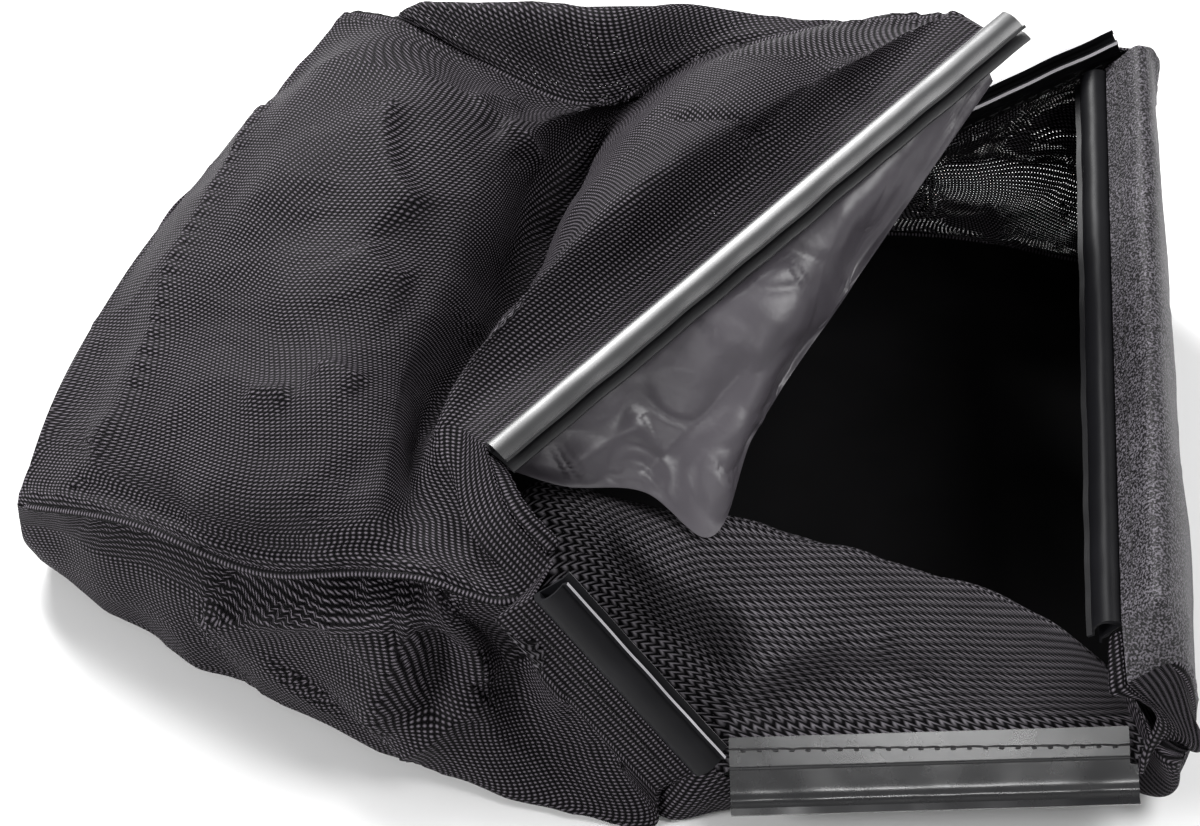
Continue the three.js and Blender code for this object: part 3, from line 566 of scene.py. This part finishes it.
# Folds: height in millimetres, reach to the left and to the right of the way along the fold as seen from
# outside, sharpness (1 is a crest, 2 is soft) and the points that the fold runs through.
FOLDS = {
    "top": [
        (-5, 17, 17, 2, [
            (8, 83, 146), (-16, 45, 131), (-42, -11, 124), (-48, -121, 177), (-54, -148, 157),
            (-81, -176, 131)]),
        (-3, 5, 5, 1.3, [(-16, 45, 131), (-42, -11, 124), (-48, -60, 128), (-60, -110, 135)]),
        (-6, 20, 20, 2, [
            (-60, -60, 128), (-73, -85, 130), (-97, -150, 145), (-121, -185, 140), (-147, -195, 123)]),
        (4, 5, 5, 1.3, [(-67, 63, 172), (-55, 68, 168), (-40, 65, 166)]),
        (9, 5, 10, 1.2, [(-51, 48, 169), (-38, 41, 161), (-28, 44, 139)]),
        (-3, 9, 9, 2, [(-62, 52, 172), (-50, 40, 165), (-42, 28, 150)]),
        (8, 6, 24, 1.1, [(-107, 60, 174), (-110, 21, 172), (-102, -5, 168), (-90, -21, 163)]),
        (7, 6, 18, 1.1, [(-120, -40, 160), (-109, -56, 157), (-94, -63, 154)]),
        (6, 5, 9, 1.1, [(-174, -128, 138), (-161, -129, 142), (-150, -134, 144)]),
        (6.5, 5, 11, 1.1, [(-137, -116, 149), (-125, -124, 150), (-115, -131, 150)]),
        (4, 12, 24, 1.6, [(-260, -110, 86), (-234, -114, 103), (-203, -127, 123)]),
        (6.5, 7, 30, 1.1, [
            (-169, 133, 133), (-195, 53, 138), (-219, -22, 123), (-236, -96, 105), (-253, -128, 88)]),
        (-6, 13, 13, 2, [(-272, -129, 75), (-227, -157, 97), (-178, -191, 107), (-128, -210, 121)]),
        (4, 20, 20, 2, [(-209, -173, 99), (-163, -183, 124), (-118, -185, 140)]),
        (-4, 4, 9, 1.3, [(25, -2, 212), (54, -26, 231), (87, -25, 220)]),
        (-5, 6, 12, 1.3, [(121, 6, 239), (99, -13, 235), (69, -39, 215)]),
        (-2.6, 9, 9, 2, [(0, -102, 179), (-10, -136, 172), (-20, -160, 160)])],
    "right": [
        (-17, 6, 11, 1.6, [
            (-278, -136, 60), (-235, -166, 79), (-192, -192, 84), (-160, -208, 91), (-131, -218, 106),
            (-91, -228, 112), (-59, -238, 112)]),
        (15, 6, 26, 1.0, [(-202, -189, 48), (-145, -216, 80), (-86, -232, 104)]),
        (-11, 11, 11, 2, [(-195, -188, 66), (-150, -210, 92), (-110, -224, 106)]),
        (-7, 22, 22, 2, [(-120, -232, 84), (-131, -230, 61), (-147, -224, 31)]),
        (12, 7, 16, 1.0, [(-84, -231, 110), (-93, -237, 84), (-102, -244, 62), (-110, -245, 27)]),
        (-8, 8, 8, 2, [(-76, -236, 98), (-78, -240, 86), (-81, -247, 58), (-84, -248, 40)]),
        (10, 6, 12, 1.1, [(-83, -230, 118), (-72, -234, 103), (-61, -238, 84), (-52, -245, 56)]),
        (9, 8, 12, 1.1, [(-51, -244, 56), (-75, -252, 41), (-98, -249, 11)]),
        (-7, 5, 12, 1.6, [
            (-31, -251, 128), (-29, -254, 114), (-34, -256, 100), (-39, -248, 80), (-44, -242, 66)]),
        (2, 14, 5, 1.4, [(-31, -251, 128), (-29, -254, 114), (-34, -256, 100), (-39, -248, 80)]),
        (-3, 18, 18, 2, [(-19, -257, 60), (0, -263, 58), (20, -269, 40)]),
        (5, 5, 9, 1.2, [(28, -281, 7), (43, -272, 26), (54, -266, 37)]),
        (-5, 7, 10, 1.5, [(1, -191, 118), (38, -213, 100), (77, -228, 89), (119, -239, 80)]),
        (5, 10, 10, 2, [(10, -217, 83), (48, -236, 74), (86, -246, 66)]),
        (-10, 8, 13, 1.4, [(62, -252, 58), (85, -239, 76), (114, -236, 83), (143, -240, 81)]),
        (8, 8, 8, 1.6, [(68, -258, 52), (98, -249, 64), (134, -246, 70), (172, -249, 68)]),
        (-5, 5, 5, 1.6, [(69, -221, 95), (76, -234, 81), (81, -248, 64)])],
    "left": [
        (-9, 15, 15, 2, [(183, 150, 24), (215, 150, 26), (248, 144, 28), (278, 132, 38)]),
        (7, 7, 7, 1.6, [(189, 152, 46), (220, 152, 53), (249, 150, 51), (276, 138, 57)]),
        (-5, 8, 8, 1.5, [(242, 146, 80), (258, 145, 78), (276, 139, 80)])],
    "liner": [
        (3.4, 5, 10, 1.3, [(57, -181, 134), (70, -162, 134), (76, -146, 139)]),
        (-3.5, 8, 8, 1.6, [(-19, -178, 139), (5, -166, 148), (24, -158, 154)]),
        (3.6, 8, 8, 1.5, [(19, -179, 134), (34, -168, 144), (57, -151, 160), (76, -132, 175)]),
        (-3, 9, 9, 1.6, [(48, -125, 181), (67, -112, 189), (97, -94, 198)]),
        (3, 6, 9, 1.4, [(112, -99, 162), (98, -117, 152), (86, -134, 144)]),
        (3, 6, 8, 1.4, [(122, -86, 170), (128, -72, 182), (130, -60, 192)])]}

# Slack of each cloth: height and size of broad waves, the same of the sharper wrinkles between them, and
# the height of the puff beside its seams.
SLACK = {
    "top": (1.5, 85, 0.5, 55, 1.8), "right": (1.2, 70, 0.6, 45, 0.0), "left": (2.2, 90, 1.0, 60, 1.5),
    "bottom": (0.6, 70, 0.2, 50, 0.8), "rear": (2.0, 60, 0.8, 40, 1.0), "liner": (1.6, 62, 0.7, 40, 0.0)}
SEAM_PUFF_AT = 6.0
SEAM_PUFF_REACH = 3.2
PUFF_PUCKERS = [(0.35, 11), (0.25, 6.3)]
FOLD_CAP = 17.0
FOLD_FADE = 0.16

# How far from the seams, the clips' strips and the rear edge the folds have their full height.
SEAM_CALM = 5
STRIP_CALM_OUT = 16
STRIP_CALM_IN = 14
REAR_CALM = 8


def ease(x):
    """0 below 0, 1 above 1, and a smooth cubic between."""
    x = np.clip(x, 0, 1)
    return x * x * (3 - 2 * x)


def ripple(points, size, seed, count=14):
    """A smooth random field of spread 1: a sum of plane cosine waves of about the given size."""
    rng = np.random.default_rng(seed)
    ways = rng.normal(size=(count, 3))
    ways *= (2 * np.pi / size * rng.uniform(0.6, 1.5, count) / np.linalg.norm(ways, axis=1))[:, None]
    return np.cos(points @ ways.T + rng.uniform(0, 2 * np.pi, count)).sum(axis=-1) / math.sqrt(count / 2)


def fold_height(net, normals, fold):
    """A fold's height at each point: an exponential of the distance to its line, with its own reach on
    each side, fading out over a share of its line towards both ends."""
    height, left, right, power, points = fold
    line = lace(points, [8] * (len(points) - 1))
    way = np.gradient(line, axis=0)
    apart = net[:, :, None, :] - line
    far = np.linalg.norm(apart, axis=-1)
    near = far.argmin(axis=-1)
    distance = np.take_along_axis(far, near[..., None], axis=-1)[..., 0]
    offset = np.take_along_axis(apart, near[..., None, None], axis=2)[..., 0, :]
    leftward = (np.cross(normals, way[near]) * offset).sum(axis=-1) > 0
    reach = np.where(leftward, left, right)
    run = near / (len(line) - 1)
    return height * np.exp(-(distance / reach) ** power) * ease(np.minimum(run, 1 - run) / FOLD_FADE)


def puckered(run, waves):
    """1 plus a sum of sines along a seam, each given by its height and its length in millimetres."""
    return 1 + sum(height * np.sin(run * 2 * np.pi / length) for height, length in waves)


def folded(key, net, outward, strip):
    """The net moved along its normals by its folds, its slack and a puff beside each sewn seam.

    Nothing moves at the seams and on the strip sewn to the clips, and nothing sinks below the ground."""
    normals = net_normals(net, outward)
    lengths = net_lengths(net)
    u, v = lengths[..., 0], lengths[..., 1]
    edge = np.minimum(u, u[:, -1:] - u)
    rear = v[-1:] - v
    broad, broad_size, sharp, sharp_size, puff = SLACK[key]
    seed = sum(map(ord, key))
    height = broad * ripple(net, broad_size, seed)
    height += sharp * (0.8 - 1.6 * np.abs(ripple(net, sharp_size, seed + 1)).clip(0, 1))
    for fold in FOLDS.get(key, []):
        height += fold_height(net, normals, fold)
    height *= ease(edge / SEAM_CALM)
    height += puff * puckered(v, PUFF_PUCKERS) * np.exp(-((edge - SEAM_PUFF_AT) / SEAM_PUFF_REACH) ** 2)
    calm = np.where(height > 0, ease((v - strip / 2) / STRIP_CALM_OUT), ease((v - strip) / STRIP_CALM_IN))
    height *= calm * ease(rear / REAR_CALM)
    moved = net + normals * np.clip(height, -FOLD_CAP, FOLD_CAP)[..., None]
    moved[..., 2] = np.maximum(moved[..., 2], FLOOR)
    return moved


def quads(a, b, c, d):
    """Faces from four arrays of corner numbers."""
    return np.stack([a.ravel(), b.ravel(), c.ravel(), d.ravel()], axis=1)


def cloth_shell(name, net, flat, thickness, outward, materials):
    """A closed shell: the net set half the thickness out and half in, with a strip round its border.

    The outer face has the first material, the inner face the second. UVs are the unfolded net's lengths."""
    normals = net_normals(net, outward)
    m, n = net.shape[:2]
    number = np.arange(m * n).reshape(m, n)
    a, b, c, d = number[:-1, :-1], number[1:, :-1], number[1:, 1:], number[:-1, 1:]
    if outward < 0:
        b, d = d, b
    faces = [quads(a, b, c, d), quads(a + m * n, d + m * n, c + m * n, b + m * n)]
    ring = np.concatenate([number[0, :-1], number[:-1, -1], number[-1, :0:-1], number[:0:-1, 0]])
    after = np.roll(ring, -1)
    border = quads(ring, after, after + m * n, ring + m * n)
    faces.append(border if outward > 0 else border[:, ::-1])
    index = np.repeat([0, 1, 0], [len(part) for part in faces])
    points = np.concatenate([net + normals * thickness / 2, net - normals * thickness / 2]).reshape(-1, 3)
    uv = np.concatenate([net_lengths(flat).reshape(-1, 2)] * 2)
    return make_piece(name, points, np.concatenate(faces).tolist(), materials, uv, index)


# Points along the section's flat wall, its channel's flat side and each half of a bow.
WALL_STEPS = 60
CHANNEL_STEPS = 8
CURVE_STEPS = 10

# The sides of the section that are the thin edges of its two lips, counted in its points.
LIP_EDGES = (WALL_STEPS + 1, WALL_STEPS + 3 + CHANNEL_STEPS + 2 * CURVE_STEPS)


def clip_section(clip):
    """The clip's cross-section: a flat inner wall with the flange and a bowed outer wall with a slot.

    x runs into the cloth and y to the inner side. Each bow is two quadratic curves. The inner wall has a
    smooth step beside the flange and a crown, a bell curve, before the lip."""
    def curve(a, b, c):
        t = np.arange(1, CURVE_STEPS + 1)[:, None] / CURVE_STEPS
        return (1 - t)**2 * np.array(a) + 2 * t * (1 - t) * np.array(b) + t**2 * np.array(c)

    def wall_height(x):
        ridge = WALL_CROWN * math.exp(-((x - WALL_CROWN_AT) / WALL_CROWN_REACH) ** 2)
        return back - FLANGE_TILT * max(x, 0) - FLANGE_STEP * ease(FLANGE_STEP_AT - x) + ridge

    face = clip_face(clip)
    back = face + CLIP_WALL
    bow = face - CHANNEL_DEPTH
    root = -CHANNEL_START
    tip = -CHANNEL_REACH
    mouth = tip + LIP_LENGTH
    crown = (root + mouth) / 2
    slot = face - SLOT_WIDTH
    inner_root = root - CHANNEL_ROOT_WALL
    inner_bow = bow + CLIP_WALL
    parts = [
        [(FLANGE_WIDTH, face)],
        [(x, wall_height(x)) for x in np.linspace(FLANGE_WIDTH, mouth, WALL_STEPS)],
        [(tip, back + LIP_FLARE), (tip - LIP_BEVEL, back + LIP_FLARE - CLIP_WALL)],
        [(x, face) for x in np.linspace(mouth, inner_root, CHANNEL_STEPS)],
        curve((inner_root, face), (inner_root, inner_bow), (crown, inner_bow)),
        curve((crown, inner_bow), (mouth + CHANNEL_EASE, inner_bow), (mouth, slot)),
        [(tip, slot - OUTER_LIP_FLARE), (tip + LIP_BEVEL, slot - OUTER_LIP_FLARE - CLIP_WALL)],
        [(mouth, slot - CLIP_WALL)],
        curve((mouth, slot - CLIP_WALL), (mouth + CHANNEL_EASE, bow), (crown, bow)),
        curve((crown, bow), (root, bow), (root, face))]
    return np.concatenate([np.array(part, float).reshape(-1, 2) for part in parts])


def clip_piece(name, node, clip, short_low, short_high, seed, made):
    """The section carried along the clip, with slow waves of under a millimetre, and closed ends.

    The waves are sums of sines along the clip, larger on the bowed wall. The flange stops short of the
    ends by the two given lengths, the low one at the clip's near end. A dull clip has a painted highlight
    along its lip edges."""
    section = clip_section(clip)
    sides = len(section)
    rings = int(clip.length / CLIP_RING_STEP)
    t = np.linspace(-0.5, 0.5, rings)[:, None]
    along = t * clip.length * np.ones(sides)
    x, y = (np.ones_like(t) * section[:, k] for k in (0, 1))
    half = clip.length / 2
    flange = x > -2 * CHANNEL_START
    along = np.where(flange, np.clip(along, -half + short_low, half - short_high), along)
    phases = np.random.default_rng(seed).uniform(0, 2 * np.pi, len(CLIP_WAVE_PERIODS))
    wave = sum(np.sin(2 * np.pi * along / period + p) for period, p in zip(CLIP_WAVE_PERIODS, phases))
    y = y + CLIP_WAVE_HEIGHT * wave * np.clip((CHANNEL_START - x) / CHANNEL_REACH, 0, 1)
    points = clip.middle + along[..., None] * clip.a + x[..., None] * clip.l + y[..., None] * clip.n
    flip = np.cross(clip.l, clip.n) @ clip.a < 0
    piece = sweep_piece(name, points, [made, PVC_EDGE_HIGHLIGHT], node, flip=flip)
    # A dull clip's lip edges get the near-white painted highlight.
    if made is PVC_DULL:
        for face in list(piece.data.polygons)[:(rings - 1) * sides]:
            if face.index % sides in LIP_EDGES:
                face.material_index = 1
    return piece


def ring_uv(mesh, uv):
    """UVs of a swept body from its rings' values. A face that closes a ring goes on past the last value."""
    n = uv.shape[1]
    flat = uv.reshape(-1, 2)
    turn = uv[0, -1, 1] + uv[0, 1, 1]
    layer = mesh.uv_layers.new(name="cloth").data
    for face in mesh.polygons:
        loops = list(face.loop_indices)
        numbers = [mesh.loops[k].vertex_index for k in loops]
        columns = {q % n for q in numbers}
        closing = len(numbers) == 4 and columns == {0, n - 1}
        for k, q in zip(loops, numbers):
            layer[k].uv = (flat[q, 0], flat[q, 1] + (turn if closing and q % n == 0 else 0.0))


def sweep_piece(name, points, materials, node=None, flip=False, uv=None, sharp=35.0):
    """A closed body from rings of points: side faces between rings, and one flat cap at each end."""
    m, n = points.shape[:2]
    number = np.arange(m * n).reshape(m, n)
    a, b = number[:-1], number[1:]
    faces = quads(a, np.roll(a, -1, axis=1), np.roll(b, -1, axis=1), b)
    faces = faces.tolist() + [number[0, ::-1].tolist(), number[-1].tolist()]
    if flip:
        faces = [face[::-1] for face in faces]
    piece = make_piece(name, points.reshape(-1, 3), faces, materials, sharp=sharp)
    if uv is not None:
        ring_uv(piece.data, uv)
    if node:
        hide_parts(node)
    return piece


def roll_size(gone, start, end_reach, waves):
    """A roll's size along it: a square root of the way to its nearer end, up to 1, and puckers."""
    end = np.minimum(gone, gone[-1] - gone)
    return np.sqrt(np.clip(start + end / end_reach, 0, 1)) * puckered(gone, waves)


def roll_rings(centre, across, up, wide, thick, size):
    """Rings of points on a line: a section's values along two ways, times each ring's size."""
    wide, thick = (size[:, None, None] * x[:, None] for x in (wide, thick))
    return centre[:, None] + across[:, None] * wide + up[:, None] * thick


def roll_piece(name, node, points, gone, turn, flip=False):
    """A roll of the outside's knit, whose pattern runs along it and round it."""
    uv = np.stack(np.broadcast_arrays(gone[:, None], turn[None]), axis=-1)
    return sweep_piece(name, points, [KNIT_OUT], node, flip=flip, uv=uv, sharp=80)


def hem_piece(name, node, stretches, start_gap=2.5, end_gap=2.5):
    """A rolled hem past the rim: an oval section carried along it, puckered a little and round at its ends.

    The section is a superellipse. Each stretch of the rim is a net and its first and last column."""
    rows = ([NETS[key][row, first:last + 1] for key, first, last in stretches] for row in (0, DOWN))
    rim_line, inner = (np.concatenate(row) for row in rows)
    keep = np.concatenate([[True], np.linalg.norm(np.diff(rim_line, axis=0), axis=1) > 1e-6])
    rim_line, inner = rim_line[keep], inner[keep]
    run = run_along(rim_line)
    rings = int((run[-1] - start_gap - end_gap) / HEM_RING_STEP)
    at = np.linspace(start_gap, run[-1] - end_gap, rings)
    line = points_at(rim_line, run, at)
    off = unit(line - points_at(inner, run, at))
    side = unit(np.cross(off, np.gradient(line, axis=0)))
    gone = at - at[0]
    size = roll_size(gone, 0.08, HEM_END, HEM_PUCKERS)
    angle = np.linspace(0, 2 * np.pi, HEM_SIDES, endpoint=False)
    c, d = np.cos(angle), np.sin(angle)
    wide = np.sign(c) * np.abs(c) ** HEM_ROUNDNESS * HEM_WIDTH / 2
    thick = np.sign(d) * np.abs(d) ** HEM_ROUNDNESS * HEM_THICKNESS / 2
    centre = line + off * (HEM_WIDTH / 2 + HEM_CLEARANCE)
    points = roll_rings(centre, off, side, wide, thick, size)
    return roll_piece(name, node, points, gone, angle * HEM_WIDTH * 0.4, flip=True)


def seam_roll(name, line, beside_line, width, thick, start, end=4):
    """The sewn edge along a seam: a roll of doubled cloth, puckered by its stitches, closed at its ends.

    beside_line is a column of one of its cloths; the section is an ellipse in the plane across."""
    run = run_along(line)
    at = np.arange(start, run[-1] - end, SEAM_RING_STEP)
    inward = points_at(beside_line - line, run, at)
    line = points_at(line, run, at)
    way = unit(np.gradient(line, axis=0))
    wide = unit(inward - way * (inward * way).sum(axis=1, keepdims=True))
    up = np.cross(wide, way)
    gone = at - at[0]
    size = roll_size(gone, 0.05, SEAM_END, SEAM_PUCKERS)
    angle = np.linspace(0, 2 * np.pi, SEAM_SIDES, endpoint=False)
    points = roll_rings(line, wide, up, np.cos(angle) * width / 2, np.sin(angle) * thick / 2, size)
    points[..., 2] = np.maximum(points[..., 2], SEAM_LOW)
    return roll_piece(name, None, points, gone, angle * width * 0.35)


# A stitch's own steps along it and round it, and its largest tilt.
STITCH_RINGS = 7
STITCH_SIDES = 6
STITCH_TILT = 0.06


def stitches(name, points, normal, length, thick=0.55):
    """A row of stitches: each a slim half-sunk ellipsoid along the row, with its own slight tilt."""
    rng = np.random.default_rng(len(name))
    way = unit(np.gradient(points, axis=0))
    rings, sides = STITCH_RINGS, STITCH_SIDES
    t = np.linspace(0, np.pi, rings + 2)[1:-1]
    angle = np.linspace(0, 2 * np.pi, sides, endpoint=False)
    all_points, all_faces = [], []
    for place, along in zip(points, way):
        across = np.cross(normal, along)
        along = along + across * rng.uniform(-STITCH_TILT, STITCH_TILT)
        body = [place - along * length / 2]
        for q in t:
            centre = place - along * math.cos(q) * length / 2
            reach = thick * math.sin(q) ** 0.6
            body += [centre + (across * math.cos(w) + normal * math.sin(w)) * reach for w in angle]
        body.append(place + along * length / 2)
        base = len(all_points)
        all_points += body
        for r in range(rings - 1):
            for k in range(sides):
                a, b = base + 1 + r * sides + k, base + 1 + r * sides + (k + 1) % sides
                all_faces.append((a, b, b + sides, a + sides))
        tail = base + 1 + rings * sides
        for k in range(sides):
            all_faces.append((base, base + 1 + (k + 1) % sides, base + 1 + k))
            all_faces.append((tail, tail - sides + k, tail - sides + (k + 1) % sides))
    return make_piece(name, np.array(all_points), all_faces, [THREAD])


def clip_stitches(name, clip, pitch, length, near, far, height, ends=(6, 6), thick=0.5):
    """Stitches along a clip, near and far millimetres into the cloth at its two ends, at the given height."""
    t = np.arange(-clip.length / 2 + ends[0], clip.length / 2 - ends[1], pitch) / clip.length
    points = np.stack([on_clip(clip, x, near + (far - near) * (x + 0.5), height) for x in t])
    return stitches(name, points, clip.n * np.sign(height), length, thick)


NETS = {
    "top": panel_net(top_rim, TOP_RIGHT_SEAM, TOP_ROWS, TOP_LEFT_SEAM, TOP_STEPS),
    "right": panel_net(right_rim, TOP_RIGHT_SEAM, RIGHT_ROWS, BOTTOM_RIGHT_SEAM, RIGHT_STEPS),
    "left": panel_net(left_rim, TOP_LEFT_SEAM, LEFT_ROWS, BOTTOM_LEFT_SEAM, LEFT_STEPS),
    "bottom": panel_net(bottom_rim, BOTTOM_RIGHT_SEAM, BOTTOM_ROWS, BOTTOM_LEFT_SEAM, BOTTOM_STEPS)}
NETS["rear"] = rear_net(NETS["top"], NETS["right"], NETS["left"], NETS["bottom"])
NETS["liner"] = liner_net()

# Each cloth's piece, node, thickness, the sign that turns its net's normals outward, materials and slot.
PANELS = {
    "top": ("top_cloth", "top_panel", MESH_THICKNESS, -1, KNIT, "knit_mesh"),
    "right": ("right_cloth", "right_side_panel", MESH_THICKNESS, 1, KNIT, "knit_mesh"),
    "left": ("left_cloth", "left_side_panel", MESH_THICKNESS, -1, [KNIT_OUT, KNIT_OPEN_PAINTED_LIGHT], "knit_mesh"),
    "bottom": ("bottom_cloth", "bottom_panel", COATED_THICKNESS, 1, [COATED_OUT, COATED_IN], "coated_cloth"),
    "rear": ("rear_cloth", "rear_panel", MESH_THICKNESS, -1, KNIT, "knit_mesh"),
    "liner": ("liner_flap", "dust_liner", LINER_THICKNESS, -1, [VINYL, VINYL], "liner_vinyl")}

# How wide a strip at its first row a cloth is held flat on, where it isn't the clip's. The rear has none.
STRIP_HELD = {"rear": -20, "liner": 6}
for key, (name, node, thickness, outward, materials, slot) in PANELS.items():
    shape = folded(key, NETS[key], outward, STRIP_HELD.get(key, STRIP_WIDTH))
    cloth_shell(name, shape, NETS[key], thickness, outward, materials)
    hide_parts(node)

# Each clip's name, place, what its flange lacks at its near and far end, and its finish.
CLIPS = [
    ("top", TOP, 0, TOP_FLANGE_SHORT, PVC_SATIN),
    ("right_upper", RIGHT_UPPER, SIDE_FLANGE_SHORT, 0, PVC_DULL),
    ("right_lower", RIGHT_LOWER, 0, CORNER_FLANGE_SHORT, PVC_GLOSSY),
    ("bottom", BOTTOM, 0, 0, PVC_DULL),
    ("left_lower", LEFT_LOWER, 0, 0, PVC_DULL),
    ("left_upper", LEFT_UPPER, SIDE_FLANGE_SHORT, 0, PVC_DULL)]
for seed, (name, clip, short_low, short_high, made) in enumerate(CLIPS, 1):
    clip_piece(name + "_profile", name + "_clip", clip, short_low, short_high, seed, made)

HEMS = {
    "top": [
        hem_piece("top_right_roll", "top_right_hem", [("top", 0, 4 * ACROSS)]),
        hem_piece("top_left_roll", "top_left_hem",
                  [("top", 21 * ACROSS, 22 * ACROSS), ("left", 0, 2 * ACROSS)])],
    "bottom": [
        hem_piece("bottom_right_roll", "bottom_right_hem",
                  [("right", 20 * ACROSS, 24 * ACROSS), ("bottom", 0, 2 * ACROSS)]),
        hem_piece("bottom_left_roll", "bottom_left_hem", [("bottom", 20 * ACROSS, 22 * ACROSS)], end_gap=7)]}


def corner_tuck():
    """The near side's cloth where it turns under the lower clip's end: four lines of points, laced."""
    lines = [lace(points, [12, 12]) for points in (
        [(20, -272, 3), (30, -270, 18), (40, -266, 33)], [(35, -281, 2.5), (42, -281, 18), (50, -273, 36)],
        [(54, -277, 3), (57, -279, 16), (60, -276, 30)], [(72, -275, 6), (72, -277, 16), (72, -275, 26)])]
    net = lace(np.stack(lines), [10, 10, 10])
    return cloth_shell("corner_tuck", net, net, MESH_THICKNESS, 1, KNIT)


HEMS["right"] = [corner_tuck()]
top, bottom = NETS["top"], NETS["bottom"]
HEMS["top"] += [
    seam_roll("near_seam", top[:, 0], top[:, 4], 4.6, 2.8, 22),
    seam_roll("far_seam", top[:, -1], top[:, -5], 5.0, 3.4, 22)]
HEMS["bottom"] += [
    seam_roll("lower_near_seam", bottom[:, 0], bottom[:, 4], 5.0, 3.2, 22),
    seam_roll("lower_far_seam", bottom[:, -1], bottom[:, -5], 5.0, 3.4, 14)]

# Stitches lie on the cloth's outer face or on a clip's flat wall.
FACE = -MESH_THICKNESS / 2
WALL_FACE = clip_face(RIGHT_LOWER) + CLIP_WALL - 0.3
clip_stitches("top_thread", TOP, 4.2, 3.2, 9, 9, FACE, (6, 14))
clip_stitches("right_upper_thread", RIGHT_UPPER, 4.2, 3.2, 9, 9, FACE)
clip_stitches("right_lower_thread", RIGHT_LOWER, 7.7, 8.6, 10.5, 7, WALL_FACE, (4, 6), 0.55)
clip_stitches("right_lower_knots", RIGHT_LOWER, 7.7, 2.6, 9.6, 6.1, WALL_FACE, (7, 6), 0.75)
clip_stitches("bottom_thread", BOTTOM, 4.4, 3.2, 9, 9, -COATED_THICKNESS / 2)
clip_stitches("bottom_inner_thread", BOTTOM, 7.7, 5.2, 9, 9, clip_face(BOTTOM) + CLIP_WALL)
clip_stitches("left_lower_thread", LEFT_LOWER, 7.7, 5.2, 9, 9, clip_face(LEFT_LOWER) + CLIP_WALL)

# The photograph's view, along +Y: the point it aims at, from how far and how steeply, and its lens.
VIEW_AIM = np.array([0.0, -85.0, 85.0])
VIEW_DISTANCE = 1500.0
VIEW_DOWN = math.radians(45)
SENSOR_WIDTH = 36.0
FOCAL_LENGTH = 87.75


def camera():
    """A camera at the photograph's place."""
    data = bpy.data.cameras.new("camera")
    data.sensor_width = SENSOR_WIDTH
    data.lens = FOCAL_LENGTH
    view = add_object("camera", data)
    back = np.array([0.0, -math.cos(VIEW_DOWN), math.sin(VIEW_DOWN)])
    view.location = (VIEW_AIM + VIEW_DISTANCE * back - MIDDLE) * MM
    view.rotation_euler = (math.pi / 2 - VIEW_DOWN, 0, 0)
    bpy.context.scene.camera = view


# Soft boxes: place in metres, width, length and power in watts.
LAMPS = {
    "key": ((-0.88, 1.6, 1.27), 0.8, 0.8, 48.0),
    "top": ((-0.6, 1.0, 1.95), 0.4, 1.2, 26.0),
    "fill": ((1.3, -0.2, 1.9), 1.3, 1.3, 34.0),
    "side": ((-1.8, -0.9, 0.9), 0.7, 0.7, 32.0),
    "front": ((0.29, -1.62, 1.5), 0.26, 0.26, 3.4)}
FLOOR_REACH = 6.0
WORLD_STRENGTH = 0.25


def stage():
    """A plain white floor that keeps the bag's shadow, soft lamps and an even world."""
    mesh = bpy.data.meshes.new("floor")
    corners = [(x * FLOOR_REACH, y * FLOOR_REACH, 0) for x, y in ((-1, -1), (1, -1), (1, 1), (-1, 1))]
    mesh.from_pydata(corners, [], [(0, 1, 2, 3)])
    made, node = new_material("floor_paper")
    mesh.materials.append(finished(made, node, {"Base Color": linear("#f4f4f4"), "Roughness": 0.9}))
    floor = add_object("floor", mesh)
    world = bpy.data.worlds.new("studio")
    world.use_nodes = True
    background = world.node_tree.nodes["Background"]
    background.inputs["Color"].default_value = (1, 1, 1, 1)
    background.inputs["Strength"].default_value = WORLD_STRENGTH
    bpy.context.scene.world = world
    for name, (place, size, long, power) in LAMPS.items():
        soft_lamp(name, place, size, long, power)


def soft_lamp(name, place, size, long, power):
    """An oval soft box that faces the origin, its long way in the plane through the vertical."""
    lamp = bpy.data.lights.new(name, "AREA")
    lamp.shape = "ELLIPSE"
    lamp.size = size
    lamp.size_y = long
    lamp.energy = power
    thing = add_object(name, lamp)
    thing.location = place
    tilt = math.acos(place[2] / np.linalg.norm(place))
    thing.rotation_euler = (tilt, 0, math.atan2(place[1], place[0]) + math.pi / 2)


camera()
stage()
bpy.context.scene.view_settings.view_transform = "Standard"
